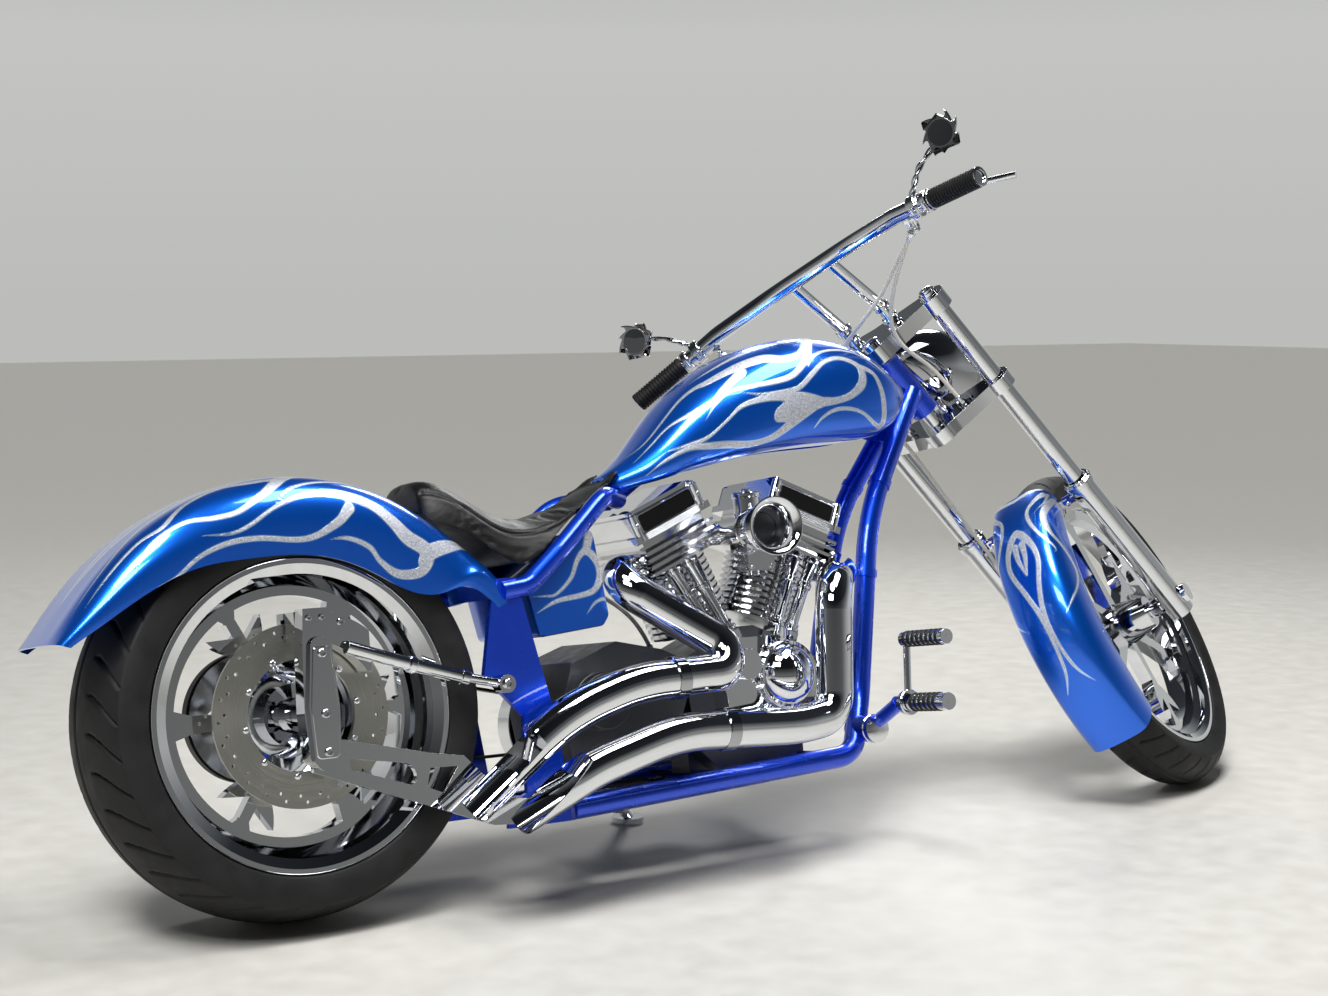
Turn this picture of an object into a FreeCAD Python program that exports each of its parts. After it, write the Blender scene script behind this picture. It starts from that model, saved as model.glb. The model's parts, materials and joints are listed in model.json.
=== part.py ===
import FreeCAD, Part
import math
import os
import re
import Sketcher
from FreeCAD import Placement, Rotation, Vector

# Long low chopper motorcycle, parked on its side stand with the steering on its left stop.
# Every piece is drawn upright and straight ahead first: X forward, Y to the left, Z up,
# millimetres, with the origin on the ground under the rear axle. At the end each piece
# gets the placement of the parked machine.

# Driving dimensions: name, value in millimetres or degrees, what it is
SIZES = [
    ("fit_gap", 0.3, "gap between pieces that seat on each other"),
    ("run_gap", 6, "gap round pieces that move"),
    ("wheel_base", 1874.5, "rear axle to front axle, straight ahead"),
    ("rake_angle", 42, "steering axis back from vertical"),
    ("fork_offset", 66, "fork legs ahead of the steering axis"),
    ("lean_angle", 10.4, "lean of the parked machine to its left"),
    ("steer_angle", 34.3, "steering at its left stop"),
    ("rear_tyre_r", 328, "rear tyre, outside"),
    ("rear_tyre_w", 250, "rear tyre, section width"),
    ("rear_crown_r", 255, "rear tyre, crown radius across the tread"),
    ("rear_bead_r", 230, "rear rim, bead seat"),
    ("rear_lip_r", 246, "rear rim, lip"),
    ("rear_rim_w", 236, "rear rim, over the lips"),
    ("front_tyre_r", 350, "front tyre, outside"),
    ("front_tyre_w", 120, "front tyre, section width"),
    ("front_crown_r", 65, "front tyre, crown radius across the tread"),
    ("front_bead_r", 270, "front rim, bead seat"),
    ("front_lip_r", 281, "front rim, lip"),
    ("front_rim_w", 92, "front rim, over the lips"),
    ("rim_wall", 8, "wall of both rims"),
    ("spoke_count", 3, "plain spokes of each wheel, and as many with thorns"),
    ("spoke_width", 34, "plain spoke, across at the hub"),
    ("spoke_depth", 26, "spoke, along the axle"),
    ("rear_spoke_y", 42, "rear spokes to the right of the middle"),
    ("hub_r", 46, "hub, outside"),
    ("axle_r", 12.5, "both axles"),
    ("disc_r", 146, "brake discs, outside"),
    ("disc_thick", 6, "brake discs, thickness"),
    ("rear_disc_y", 100, "rear disc to the right of the middle"),
    ("front_disc_y", 78, "front disc to the left of the middle"),
    ("disc_holes", 24, "pairs of drillings round each disc"),
    ("disc_hole_r", 3, "drillings of the discs"),
    ("pulley_windows", 5, "windows of the final belt pulley"),
    ("pulley_r", 104, "final belt pulley at the wheel"),
    ("belt_width", 22, "final belt"),
    ("belt_thick", 5, "final belt"),
    ("belt_y", 141, "middle of the final belt, left of the middle"),
    ("front_pulley_r", 42, "final belt pulley at the gearbox"),
    ("gearbox_x", 560, "gearbox main shaft ahead of the rear axle"),
    ("gearbox_z", 262, "gearbox main shaft above the ground"),
    ("neck_r", 27, "steering head tube, outside"),
    ("neck_play", 8, "steering head top below the top tree"),
    ("stem_r", 15, "steering stem"),
    ("frame_tube_r", 19.5, "cradle tubes"),
    ("member_r", 14.5, "cross members of the cradle"),
    ("backbone_r", 22, "backbone tube"),
    ("rail_tube_r", 17, "seat rails"),
    ("cradle_y", 128, "lower rails to each side of the middle"),
    ("plate_thick", 12, "rear frame plates and swing arms"),
    ("carrier_thick", 34, "axle carrier under its cover plate"),
    ("right_plate_y", 136, "outer face of the right frame plate"),
    ("left_plate_y", 168, "inner face of the left swing arm"),
    ("fork_y", 131, "fork legs to each side of the middle"),
    ("fork_tube_r", 19.5, "fork tubes"),
    ("slider_r", 26.5, "fork sliders"),
    ("slider_top", 344, "slider top above the axle, along the fork"),
    ("slider_low", 34, "slider bottom below the axle, along the fork"),
    ("low_tree_along", 598, "underside of the lower tree"),
    ("low_tree_thick", 28, "lower tree"),
    ("head_lift", 40, "steering head bottom above the lower tree"),
    ("top_tree_along", 808, "underside of the top tree"),
    ("top_tree_thick", 34, "top tree"),
    ("riser_r", 12.5, "handlebar risers"),
    ("bar_r", 16, "handlebar"),
    ("bar_end_r", 12.7, "handlebar under the grips"),
    ("bar_rise", 198, "handlebar above the top tree"),
    ("grip_r", 19, "grips"),
    ("grip_length", 118, "grips"),
    ("headlight_r", 86, "headlight shell"),
    ("headlight_length", 215, "headlight, lens to the tip of the shell"),
    ("headlight_lift", 42, "headlight above the lower tree's underside"),
    ("fender_wall", 4, "both fenders"),
    ("rear_fender_half", 142, "rear fender, half width"),
    ("front_fender_half", 73, "front fender, half width"),
    ("front_fender_r", 374, "front fender crown, about the axle"),
    ("crank_x", 860, "crankshaft ahead of the rear axle"),
    ("crank_z", 262, "crankshaft above the ground"),
    ("vee_angle", 45, "between the cylinders"),
    ("cylinder_r", 62, "cylinder barrels"),
    ("fin_r", 76, "cylinder fins"),
    ("fin_pitch", 12, "cylinder fins"),
    ("fin_count", 10, "fins on each barrel"),
    ("deck_r", 168, "crankshaft to the foot of each barrel"),
    ("barrel_length", 130, "foot of the barrel to its head"),
    ("head_length", 62, "cylinder head"),
    ("box_length", 58, "rocker box"),
    ("box_wide", 168, "rocker box, fore and aft"),
    ("box_across", 188, "rocker box, side to side"),
    ("case_across", 150, "crankcase, side to side"),
    ("cam_r", 54, "cam cover dome"),
    ("cam_rise", 34, "cam cover dome"),
    ("pushrod_r", 11, "pushrod tubes"),
    ("pipe_r", 33, "exhaust header"),
    ("pipe_wall", 2.5, "exhaust"),
    ("horn_r", 48, "intake horn mouth"),
    ("horn_throat_r", 27, "intake horn throat"),
    ("peg_r", 15, "foot pegs"),
    ("stand_r", 11, "side stand leg"),
    ("stand_x", 700, "side stand pivot ahead of the rear axle"),
    ("stand_y", 128, "side stand pivot left of the middle"),
    ("stand_z", 112, "side stand pivot above the ground"),
    ("hose_r", 4, "brake hose and cables"),
]

doc = FreeCAD.newDocument("Chopper")
sheet = doc.addObject("Spreadsheet::Sheet", "Dims")
for row, (alias, value, note) in enumerate(SIZES, 1):
    sheet.set("A%d" % row, note)
    sheet.set("B%d" % row, str(value))
    sheet.setAlias("B%d" % row, alias)
doc.recompute()

sub_parts = {}
bodies = {}


def size(formula):
    """the number that a formula of named sizes gives"""
    return float(sheet.evalExpression(str(formula)))


def linked(formula):
    """the same formula as another object of the document reads it"""
    return re.sub(r"\b[a-z]+(?:_[a-z0-9]+)+\b", r"Dims.\g<0>", str(formula))


def keep(piece, label, ride):
    """registers a finished sub-part under its label, on one of the moving groups"""
    piece.Label = label
    sub_parts[label] = piece
    bodies.setdefault(ride, []).append(label)
    return piece


# Plain solids

def primitive(kind, place=None, **formulas):
    """a Part primitive whose sizes are bound to the sheet"""
    piece = doc.addObject("Part::" + kind, kind)
    for prop, formula in formulas.items():
        piece.setExpression(prop, linked(formula))
    piece.Placement = place or Placement()
    return piece


def along(start, end):
    """placement at start whose Z axis points to end"""
    start, end = Vector(*start), Vector(*end)
    return Placement(start, Rotation(Vector(0, 0, 1), end - start))


def rod(start, end, radius):
    """round bar between two points"""
    length = (Vector(*end) - Vector(*start)).Length
    piece = primitive("Cylinder", along(start, end), Radius=radius)
    piece.Height = length
    return piece


def block(low, high):
    """box between two corners"""
    piece = doc.addObject("Part::Box", "Box")
    piece.Length, piece.Width, piece.Height = [high[i] - low[i] for i in range(3)]
    piece.Placement = Placement(Vector(*low), Rotation())
    return piece


def fuse(pieces):
    joined = doc.addObject("Part::MultiFuse", "Fuse")
    joined.Shapes = pieces
    joined.Refine = True
    return joined


def cut(base, tools):
    """base less every tool"""
    for tool in tools:
        left = doc.addObject("Part::Cut", "Cut")
        left.Base = base
        left.Tool = tool
        base = left
    return base


def made(shape, name="Shape"):
    """a shape that no feature fits, kept as an object of its own"""
    piece = doc.addObject("Part::Feature", name)
    piece.Shape = shape
    return piece


def group(pieces):
    """like pieces that don't touch, in one sub-part"""
    doc.recompute()
    return made(Part.makeCompound([p.Shape for p in pieces]), "Group")


# Bent tubes

def route(points, bends):
    """straight runs joined by tangent arcs"""
    corners = [Vector(*p) for p in points]
    edges = []
    last = corners[0]
    for i in range(1, len(corners) - 1):
        back = (corners[i - 1] - corners[i]).normalize()
        ahead = (corners[i + 1] - corners[i]).normalize()
        half = back.getAngle(ahead) / 2
        reach = bends[i - 1] / math.tan(half)
        first, second = corners[i] + back * reach, corners[i] + ahead * reach
        inward = (back + ahead).normalize()
        middle = corners[i] + inward * (bends[i - 1] / math.sin(half) - bends[i - 1])
        if (first - last).Length > 0.01:
            edges.append(Part.LineSegment(last, first).toShape())
        edges.append(Part.Arc(first, middle, second).toShape())
        last = second
    edges.append(Part.LineSegment(last, corners[-1]).toShape())
    return Part.Wire(edges)


def soft_bends(points):
    """for each inner corner, the largest arc that its two runs allow"""
    corners = [Vector(*p) for p in points]
    bends = []
    for i in range(1, len(corners) - 1):
        back, ahead = corners[i - 1] - corners[i], corners[i + 1] - corners[i]
        turn = math.pi - back.getAngle(ahead)
        bends.append(0.45 * min(back.Length, ahead.Length) / math.tan(turn / 2))
    return bends


def tube(points, bends, radius):
    """a round section swept along a route"""
    path = made(route(points, bends), "Route")
    section = doc.addObject("Part::Circle", "Section")
    section.setExpression("Radius", linked(radius))
    direction = Vector(*points[1]) - Vector(*points[0])
    section.Placement = Placement(Vector(*points[0]), Rotation(Vector(0, 0, 1), direction))
    sweep = doc.addObject("Part::Sweep", "Tube")
    sweep.Sections = [section]
    sweep.Spine = (path, ["Edge%d" % (i + 1) for i in range(len(path.Shape.Edges))])
    sweep.Solid = True
    return sweep


# Sketched solids

def new_body(name):
    return doc.addObject("PartDesign::Body", name)


def origin_plane(body, role):
    return [f for f in body.Origin.OriginFeatures if f.Role == role][0]


def new_sketch(body, role):
    sketch = body.newObject("Sketcher::SketchObject", "Sketch")
    sketch.AttachmentSupport = [(origin_plane(body, role), "")]
    sketch.MapMode = "FlatFace"
    return sketch


def fix(sketch, kind, geometry, point, axis_line, formula):
    """places one coordinate of a sketch point by a formula"""
    value = size(formula)
    if abs(value) < 1e-6:
        sketch.addConstraint(Sketcher.Constraint("PointOnObject", geometry, point, axis_line))
    else:
        number = sketch.addConstraint(Sketcher.Constraint(kind, -1, 1, geometry, point, value))
        sketch.setExpression("Constraints[%d]" % number, linked(formula))


def outline(sketch, points, arcs=None):
    """closed outline through points; arcs gives, for the side that starts at a point, its
    radius formula, positive with the centre to the left of travel and negative to the right"""
    arcs = arcs or {}
    spots = [Vector(size(x), size(y), 0) for x, y in points]
    count = len(spots)
    first = sketch.GeometryCount
    starts, ends = [], []
    for i in range(count):
        a, b = spots[i], spots[(i + 1) % count]
        if i not in arcs:
            sketch.addGeometry(Part.LineSegment(a, b), False)
            starts.append(1)
            ends.append(2)
            continue
        radius = size(arcs[i])
        chord = b - a
        left = Vector(-chord.y, chord.x, 0).normalize()
        rise = math.sqrt(max(radius * radius - chord.Length ** 2 / 4, 0)) * (1 if radius > 0 else -1)
        centre = (a + b) * 0.5 + left * rise
        angle_a = math.atan2(a.y - centre.y, a.x - centre.x)
        angle_b = math.atan2(b.y - centre.y, b.x - centre.x)
        circle = Part.Circle(centre, Vector(0, 0, 1), abs(radius))
        low, high = (angle_a, angle_b) if radius > 0 else (angle_b, angle_a)
        sketch.addGeometry(Part.ArcOfCircle(circle, low, high), False)
        starts.append(1 if radius > 0 else 2)
        ends.append(2 if radius > 0 else 1)
    for i in range(count):
        before = (i - 1) % count
        sketch.addConstraint(Sketcher.Constraint("Coincident", first + before, ends[before], first + i,
                                                 starts[i]))
    for i, (x, y) in enumerate(points):
        fix(sketch, "DistanceX", first + i, starts[i], -2, x)
        fix(sketch, "DistanceY", first + i, starts[i], -1, y)
    for i in arcs:
        number = sketch.addConstraint(Sketcher.Constraint("Radius", first + i, abs(size(arcs[i]))))
        sketch.setExpression("Constraints[%d]" % number, linked("abs(%s)" % arcs[i]))


def circle(sketch, x, y, radius):
    """a full circle with its centre and radius bound"""
    number = sketch.GeometryCount
    sketch.addGeometry(Part.Circle(Vector(size(x), size(y), 0), Vector(0, 0, 1), size(radius)), False)
    fix(sketch, "DistanceX", number, 3, -2, x)
    fix(sketch, "DistanceY", number, 3, -1, y)
    bound = sketch.addConstraint(Sketcher.Constraint("Radius", number, size(radius)))
    sketch.setExpression("Constraints[%d]" % bound, linked(radius))


def revolved(body, points, arcs=None, role="XY_Plane"):
    """outline in (along the axle, radius), turned about the X axis"""
    sketch = new_sketch(body, role)
    outline(sketch, points, arcs)
    turned = body.newObject("PartDesign::Revolution", "Turned")
    turned.Profile = sketch
    turned.ReferenceAxis = (sketch, ["H_Axis"])
    turned.Angle = 360
    return turned


def padded(body, role, points, thick, arcs=None, middle=True, reverse=False):
    """outline on an origin plane, raised to both sides or to one"""
    sketch = new_sketch(body, role)
    outline(sketch, points, arcs)
    pad = body.newObject("PartDesign::Pad", "Pad")
    pad.Profile = sketch
    pad.setExpression("Length", linked(thick))
    pad.Midplane = middle
    pad.Reversed = reverse
    return pad


def drilled(body, role, spots, radius, depth):
    """round holes through both sides of an origin plane"""
    sketch = new_sketch(body, role)
    for x, y in spots:
        circle(sketch, x, y, radius)
    hole = body.newObject("PartDesign::Pocket", "Holes")
    hole.Profile = sketch
    hole.setExpression("Length", linked(depth))
    hole.Midplane = True
    return hole, sketch


def repeated(body, feature, sketch, count):
    """a feature repeated round its sketch's normal"""
    pattern = body.newObject("PartDesign::PolarPattern", "Round")
    pattern.Originals = [feature]
    pattern.Axis = (sketch, ["N_Axis"])
    pattern.Angle = 360
    pattern.setExpression("Occurrences", linked(count))
    body.Tip = pattern
    return pattern


# Frames of reference

REAR_AXLE = Vector(0, 0, size("rear_tyre_r"))
ACROSS = Rotation(Vector(0, 0, 1), 90)
REAR_WHEEL = Placement(REAR_AXLE, ACROSS)

rake = math.radians(size("rake_angle"))
FORK_AHEAD = Vector(math.cos(rake), 0, math.sin(rake))
FORK_UP = Vector(-math.sin(rake), 0, math.cos(rake))
FRONT_AXLE = Vector(size("wheel_base"), 0, size("front_tyre_r"))
STEER_POINT = FRONT_AXLE - FORK_AHEAD * size("fork_offset")
FORK = Placement(STEER_POINT, Rotation(Vector(0, 1, 0), -size("rake_angle")))
FRONT_WHEEL = Placement(Vector(size("fork_offset"), 0, 0), ACROSS)


def from_fork(ahead, left, up):
    """a point given in the fork's own frame, in the frame of the machine"""
    return tuple(FORK.multVec(Vector(ahead, left, up)))


# Wheels

def tyre_profile(tyre_r, tyre_w, bead_r, lip_r, rim_w, wall, crown_r):
    """carcass section from bead to bead: outside, then back along the inside"""
    seat = "(%s/2 - 7 - fit_gap)" % rim_w
    shoulder = "(%s/2 - 4)" % tyre_w
    drop = "(%s - sqrt(%s^2 - %s^2))" % (crown_r, crown_r, shoulder)
    lip = "(%s/2 + 1)" % rim_w
    points = [("-" + seat, "%s + fit_gap" % bead_r), ("-" + seat, "%s + 1" % lip_r),
              ("-" + lip, "%s + 4" % lip_r), ("-" + shoulder, "%s - %s" % (tyre_r, drop)),
              (shoulder, "%s - %s" % (tyre_r, drop)), (lip, "%s + 4" % lip_r), (seat, "%s + 1" % lip_r),
              (seat, "%s + fit_gap" % bead_r), ("%s - 16" % seat, "%s + fit_gap" % bead_r),
              ("%s - %s" % (shoulder, wall), "%s - %s - %s" % (tyre_r, drop, wall)),
              ("-(%s - %s)" % (shoulder, wall), "%s - %s - %s" % (tyre_r, drop, wall)),
              ("-(%s - 16)" % seat, "%s + fit_gap" % bead_r)]
    arcs = {2: "-0.8*(%s - %s)" % (tyre_r, lip_r), 3: "-%s" % crown_r, 4: "-0.8*(%s - %s)" % (tyre_r, lip_r),
            9: "%s" % crown_r}
    return points, arcs


def make_tyre(label, ride, place, *sizes):
    body = new_body(label)
    points, arcs = tyre_profile(*sizes)
    revolved(body, points, arcs)
    body.Placement = place
    return keep(body, label, ride)


make_tyre("rear_tyre", "rear_wheel", REAR_WHEEL, "rear_tyre_r", "rear_tyre_w", "rear_bead_r", "rear_lip_r",
          "rear_rim_w", "14", "rear_crown_r")
make_tyre("front_tyre", "front_wheel", FRONT_WHEEL, "front_tyre_r", "front_tyre_w", "front_bead_r",
          "front_lip_r", "front_rim_w", "9", "front_crown_r")


def plain_spoke(reach):
    """straight spoke that widens at both ends, in the plane of the wheel"""
    return [("hub_r*0.6", "-0.55*spoke_width"), ("%s*0.5" % reach, "-0.36*spoke_width"),
            ("%s*0.8" % reach, "-0.42*spoke_width"), (reach, "-0.8*spoke_width"),
            (reach, "0.8*spoke_width"), ("%s*0.8" % reach, "0.42*spoke_width"),
            ("%s*0.5" % reach, "0.36*spoke_width"), ("hub_r*0.6", "0.55*spoke_width")]


def thorn_spoke(reach):
    """narrow curved spoke with three thorns, in the plane of the wheel"""
    return [("hub_r*0.6", "-0.4*spoke_width"), ("%s*0.58" % reach, "-0.26*spoke_width"),
            ("%s*0.86" % reach, "-1.5*spoke_width"), ("%s*0.76" % reach, "-0.3*spoke_width"),
            ("%s*0.88" % reach, "-0.26*spoke_width"), (reach, "-0.7*spoke_width"),
            (reach, "0.7*spoke_width"), ("%s*0.88" % reach, "0.26*spoke_width"),
            ("%s*0.70" % reach, "0.22*spoke_width"), ("%s*0.80" % reach, "1.4*spoke_width"),
            ("%s*0.52" % reach, "0.3*spoke_width"), ("hub_r*0.6", "0.4*spoke_width")]


def add_spokes(body, points, arcs, spoke_at, turn):
    """spokes of one kind round the hub, turned by an angle about the axle"""
    sketch = new_sketch(body, "YZ_Plane")
    sketch.AttachmentOffset = Placement(Vector(0, 0, size(spoke_at)), Rotation(Vector(0, 0, 1), turn))
    outline(sketch, points, arcs)
    spoke = body.newObject("PartDesign::Pad", "Spoke")
    spoke.Profile = sketch
    spoke.setExpression("Length", "Dims.spoke_depth")
    spoke.Midplane = True
    repeated(body, spoke, sketch, "spoke_count")


def make_rim(label, ride, place, bead_r, lip_r, rim_w, spoke_at, flange, boss):
    """barrel with a drop centre, spokes and hub; the hub's flange carries the disc and its boss
    ends the other way along the axle"""
    body = new_body(label)
    half = "%s/2" % rim_w
    well = "(%s - 16)" % bead_r
    points = [
        ("-%s" % half, lip_r), ("-%s + 6" % half, lip_r), ("-%s + 7" % half, bead_r),
        ("-0.30*%s" % rim_w, bead_r), ("-0.22*%s" % rim_w, well), ("0.22*%s" % rim_w, well),
        ("0.30*%s" % rim_w, bead_r), ("%s - 7" % half, bead_r), ("%s - 6" % half, lip_r), (half, lip_r),
        (half, "%s - rim_wall" % lip_r), ("%s - 6" % half, "%s - rim_wall" % bead_r),
        ("0.30*%s + 2" % rim_w, "%s - rim_wall" % bead_r), ("0.22*%s + 2" % rim_w, "%s - rim_wall" % well),
        ("-0.22*%s - 2" % rim_w, "%s - rim_wall" % well), ("-0.30*%s - 2" % rim_w, "%s - rim_wall" % bead_r),
        ("-%s + 6" % half, "%s - rim_wall" % bead_r), ("-%s" % half, "%s - rim_wall" % lip_r),
    ]
    revolved(body, points)
    low, high = "%s - 0.5*spoke_depth" % spoke_at, "%s + 0.5*spoke_depth" % spoke_at
    reach = "(%s - 0.6*rim_wall)" % well
    revolved(body, [(low, "%s - 18" % reach), (low, reach), (high, reach), (high, "%s - 18" % reach)])
    add_spokes(body, plain_spoke("(%s - 6)" % reach), {}, spoke_at, 0)
    thorn_arcs = {1: "3.2*spoke_width", 9: "4*spoke_width"}
    add_spokes(body, thorn_spoke("(%s - 6)" % reach), thorn_arcs, spoke_at, 60)
    rightward = size(flange) < size(boss)
    inward, outward = ("+", "-") if rightward else ("-", "+")
    cavity = "%s %s 26" % (flange, inward)
    points = [(flange, "axle_r + fit_gap"), (flange, "axle_r + 14"), (cavity, "axle_r + 16"),
              (cavity, "0.35*disc_r"), (flange, "0.6*disc_r"), (flange, "0.7*disc_r"),
              ("%s %s 6" % (flange, inward), "0.7*disc_r"),
              ("%s %s 0.7*spoke_depth" % (spoke_at, outward), "hub_r + 8"),
              ("%s %s 0.7*spoke_depth" % (spoke_at, inward), "hub_r"), (boss, "0.72*hub_r"),
              (boss, "axle_r + fit_gap")]
    revolved(body, points if rightward else points[::-1])
    drilled(body, "YZ_Plane", [("0", "0")], "axle_r + fit_gap", "3*%s" % rim_w)
    body.Placement = place
    return keep(body, label, ride)


make_rim("rear_rim", "rear_wheel", REAR_WHEEL, "rear_bead_r", "rear_lip_r", "rear_rim_w", "-rear_spoke_y",
         "-(rear_disc_y - disc_thick/2 - fit_gap)", "belt_y - belt_width/2 - 6 - fit_gap")
make_rim("front_rim", "front_wheel", FRONT_WHEEL, "front_bead_r", "front_lip_r", "front_rim_w", "0",
         "front_disc_y - disc_thick/2 - fit_gap", "-front_disc_y")


def make_disc(label, ride, place, middle):
    """drilled ring on the hub's flange"""
    body = new_body(label)
    low, high = "%s - disc_thick/2" % middle, "%s + disc_thick/2" % middle
    revolved(body, [(low, "0.61*disc_r"), (low, "disc_r"), (high, "disc_r"), (high, "0.61*disc_r")])
    sketch = new_sketch(body, "YZ_Plane")
    circle(sketch, "disc_r - 10", "0", "disc_hole_r")
    circle(sketch, "(disc_r - 20)*cos(360/disc_holes/3)", "(disc_r - 20)*sin(360/disc_holes/3)",
           "disc_hole_r")
    hole = body.newObject("PartDesign::Pocket", "Drilling")
    hole.Profile = sketch
    hole.setExpression("Length", linked("4*abs(%s) + 4*disc_thick" % middle))
    hole.Midplane = True
    repeated(body, hole, sketch, "disc_holes")
    body.Placement = place
    return keep(body, label, ride)


make_disc("rear_disc", "rear_wheel", REAR_WHEEL, "-rear_disc_y")
make_disc("front_disc", "front_wheel", FRONT_WHEEL, "front_disc_y")


def make_pulley():
    """belt pulley with two flanges on the left end of the rear hub"""
    body = new_body("rear_pulley")
    low, high = "belt_y - belt_width/2", "belt_y + belt_width/2"
    points = [("%s - 6" % low, "axle_r + 4"), ("%s - 6" % low, "pulley_r + 3"),
              ("%s - 2" % low, "pulley_r + 3"), ("%s - 1" % low, "pulley_r"), ("%s + 1" % high, "pulley_r"),
              ("%s + 2" % high, "pulley_r + 3"), ("%s + 5" % high, "pulley_r + 3"),
              ("%s + 5" % high, "pulley_r - 12"), ("belt_y - 2", "pulley_r - 18"),
              ("belt_y - 2", "axle_r + 22"), ("belt_y + 6", "axle_r + 16"), ("belt_y + 6", "axle_r + 4")]
    revolved(body, points)
    window = new_sketch(body, "YZ_Plane")
    circle(window, "0.58*pulley_r", "0", "0.17*pulley_r")
    opening = body.newObject("PartDesign::Pocket", "Window")
    opening.Profile = window
    opening.setExpression("Length", linked("4*belt_y"))
    opening.Midplane = True
    repeated(body, opening, window, "pulley_windows")
    body.Placement = REAR_WHEEL
    return keep(body, "rear_pulley", "rear_wheel")


make_pulley()

# Frame

neck_low, neck_high = size("low_tree_along + low_tree_thick + head_lift"), size("top_tree_along - neck_play")
neck_foot, neck_head = from_fork(0, 0, neck_low), from_fork(0, 0, neck_high)
neck_middle = from_fork(0, 0, (neck_low + neck_high) / 2)
bar_along = size("top_tree_along + top_tree_thick + bar_rise")
neck_bore = rod(from_fork(0, 0, neck_low - 5), from_fork(0, 0, neck_high + 5), "stem_r + fit_gap")
cradle_y = size("cradle_y")


def mirrored(points):
    """the same points on the other side of the machine"""
    return [(x, -y, z) for x, y, z in points]


rail_points = [(655, 14, 652), (585, 92, 655), (474, 119, 563), (404, 126, 506), (352, 129, 500)]
rail_bends = [60, 160, 60]
backbone_points = [(neck_middle[0] + 6, 0, neck_middle[2] - 10), (715, 0, 705), (640, 0, 655)]
backbone_bends = [140]


def make_backbone():
    """steering head, backbone, seat rails and the gusset behind the head"""
    neck = rod(neck_foot, neck_head, "neck_r")
    spine = tube(backbone_points, backbone_bends, "backbone_r")
    rails = [tube(points, rail_bends, "rail_tube_r") for points in (rail_points, mirrored(rail_points))]
    gusset = new_body("gusset")
    padded(gusset, "XZ_Plane", [("1120", "790"), ("1318", "846"), ("1362", "796"), ("1272", "742"),
                                ("1230", "748")], "12")
    joined = fuse([neck, spine, gusset] + rails)
    return keep(cut(joined, [neck_bore]), "frame_backbone", "chassis")


make_backbone()

rail_front, rail_rear = (1036, 162), (452, 131)
down_points = [(1340, 15, 838), (1176, 54, 600), (1104, 72, 262), (rail_front[0], cradle_y, rail_front[1]),
               (rail_rear[0], cradle_y, rail_rear[1])]
down_bends = [400, 110, 60]
collars = [(0, 0.75), (1, 0.33)]


def rail_height(x):
    """height of the lower rails' middle line"""
    share = (x - rail_rear[0]) / (rail_front[0] - rail_rear[0])
    return rail_rear[1] + (rail_front[1] - rail_rear[1]) * share


member_places = (rail_rear[0] + 18, size("crank_x - 100"), size("crank_x + 125"))
cross_members = [(x, rail_height(x)) for x in member_places]


def make_cradle():
    """two down tubes that turn into the lower rails, with cross members and ring bands"""
    parts = []
    for points in (down_points, mirrored(down_points)):
        parts.append(tube(points, down_bends, "frame_tube_r"))
    for x, z in cross_members:
        parts.append(rod((x, -cradle_y, z), (x, cradle_y, z), "member_r"))
    for points in (down_points, mirrored(down_points)):
        for first, share in collars:
            a, b = Vector(*points[first]), Vector(*points[first + 1])
            spot = a + (b - a) * share
            step = (b - a).normalize() * 7
            parts.append(rod(tuple(spot - step), tuple(spot + step), "frame_tube_r + 2.5"))
    joined = fuse(parts)
    clear_neck = rod(neck_foot, neck_head, "neck_r + fit_gap")
    clear_gusset = block((1000, -6.3, 740), (1400, 6.3, 860))
    clear_spine = tube(backbone_points, backbone_bends, "backbone_r + fit_gap")
    return cut(joined, [clear_neck, clear_gusset, clear_spine])


cradle = make_cradle()

plate_points = [("330", "486"), ("346", "521"), ("378", "521"), ("428", "300"), ("446", "160"),
                ("446", "112"), ("330", "112"), ("334", "152"), ("368", "166"), ("372", "292"),
                ("306", "364")]


def plate(points, outer_face, thick, arcs=None):
    """flat plate in an upright plane along the machine, its right face at outer_face"""
    body = new_body("plate")
    padded(body, "XZ_Plane", points, thick, arcs, middle=False)
    body.Placement = Placement(Vector(0, size(outer_face) + size(thick), 0), Rotation())
    return body


def make_side_plates():
    """upright plates behind the gearbox that carry the swing arms"""
    rail_clear = [tube(p, rail_bends, "rail_tube_r + fit_gap") for p in (rail_points, mirrored(rail_points))]
    right = plate(plate_points, "-right_plate_y", "plate_thick")
    left = plate(plate_points, "left_plate_y - fit_gap - plate_thick", "plate_thick")
    pieces = [cut(right, [rail_clear[1]]), cut(left, [rail_clear[0]])]
    return keep(group(pieces), "frame_side_plates", "chassis")


make_side_plates()

arm_points = [("-4", "238"), ("-22", "300"), ("-16", "352"), ("16", "352"), ("42", "286"), ("206", "247"),
              ("252", "240"), ("324", "164"), ("397", "154"), ("404", "134"), ("392", "116"), ("300", "122")]
slot_points = [("66", "234"), ("56", "254"), ("150", "238"), ("166", "222"), ("156", "203")]
slot_arcs = {0: "-13", 2: "-26", 3: "-14"}
opening_points = [("184", "196"), ("192", "226"), ("240", "224"), ("212", "184")]


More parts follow.
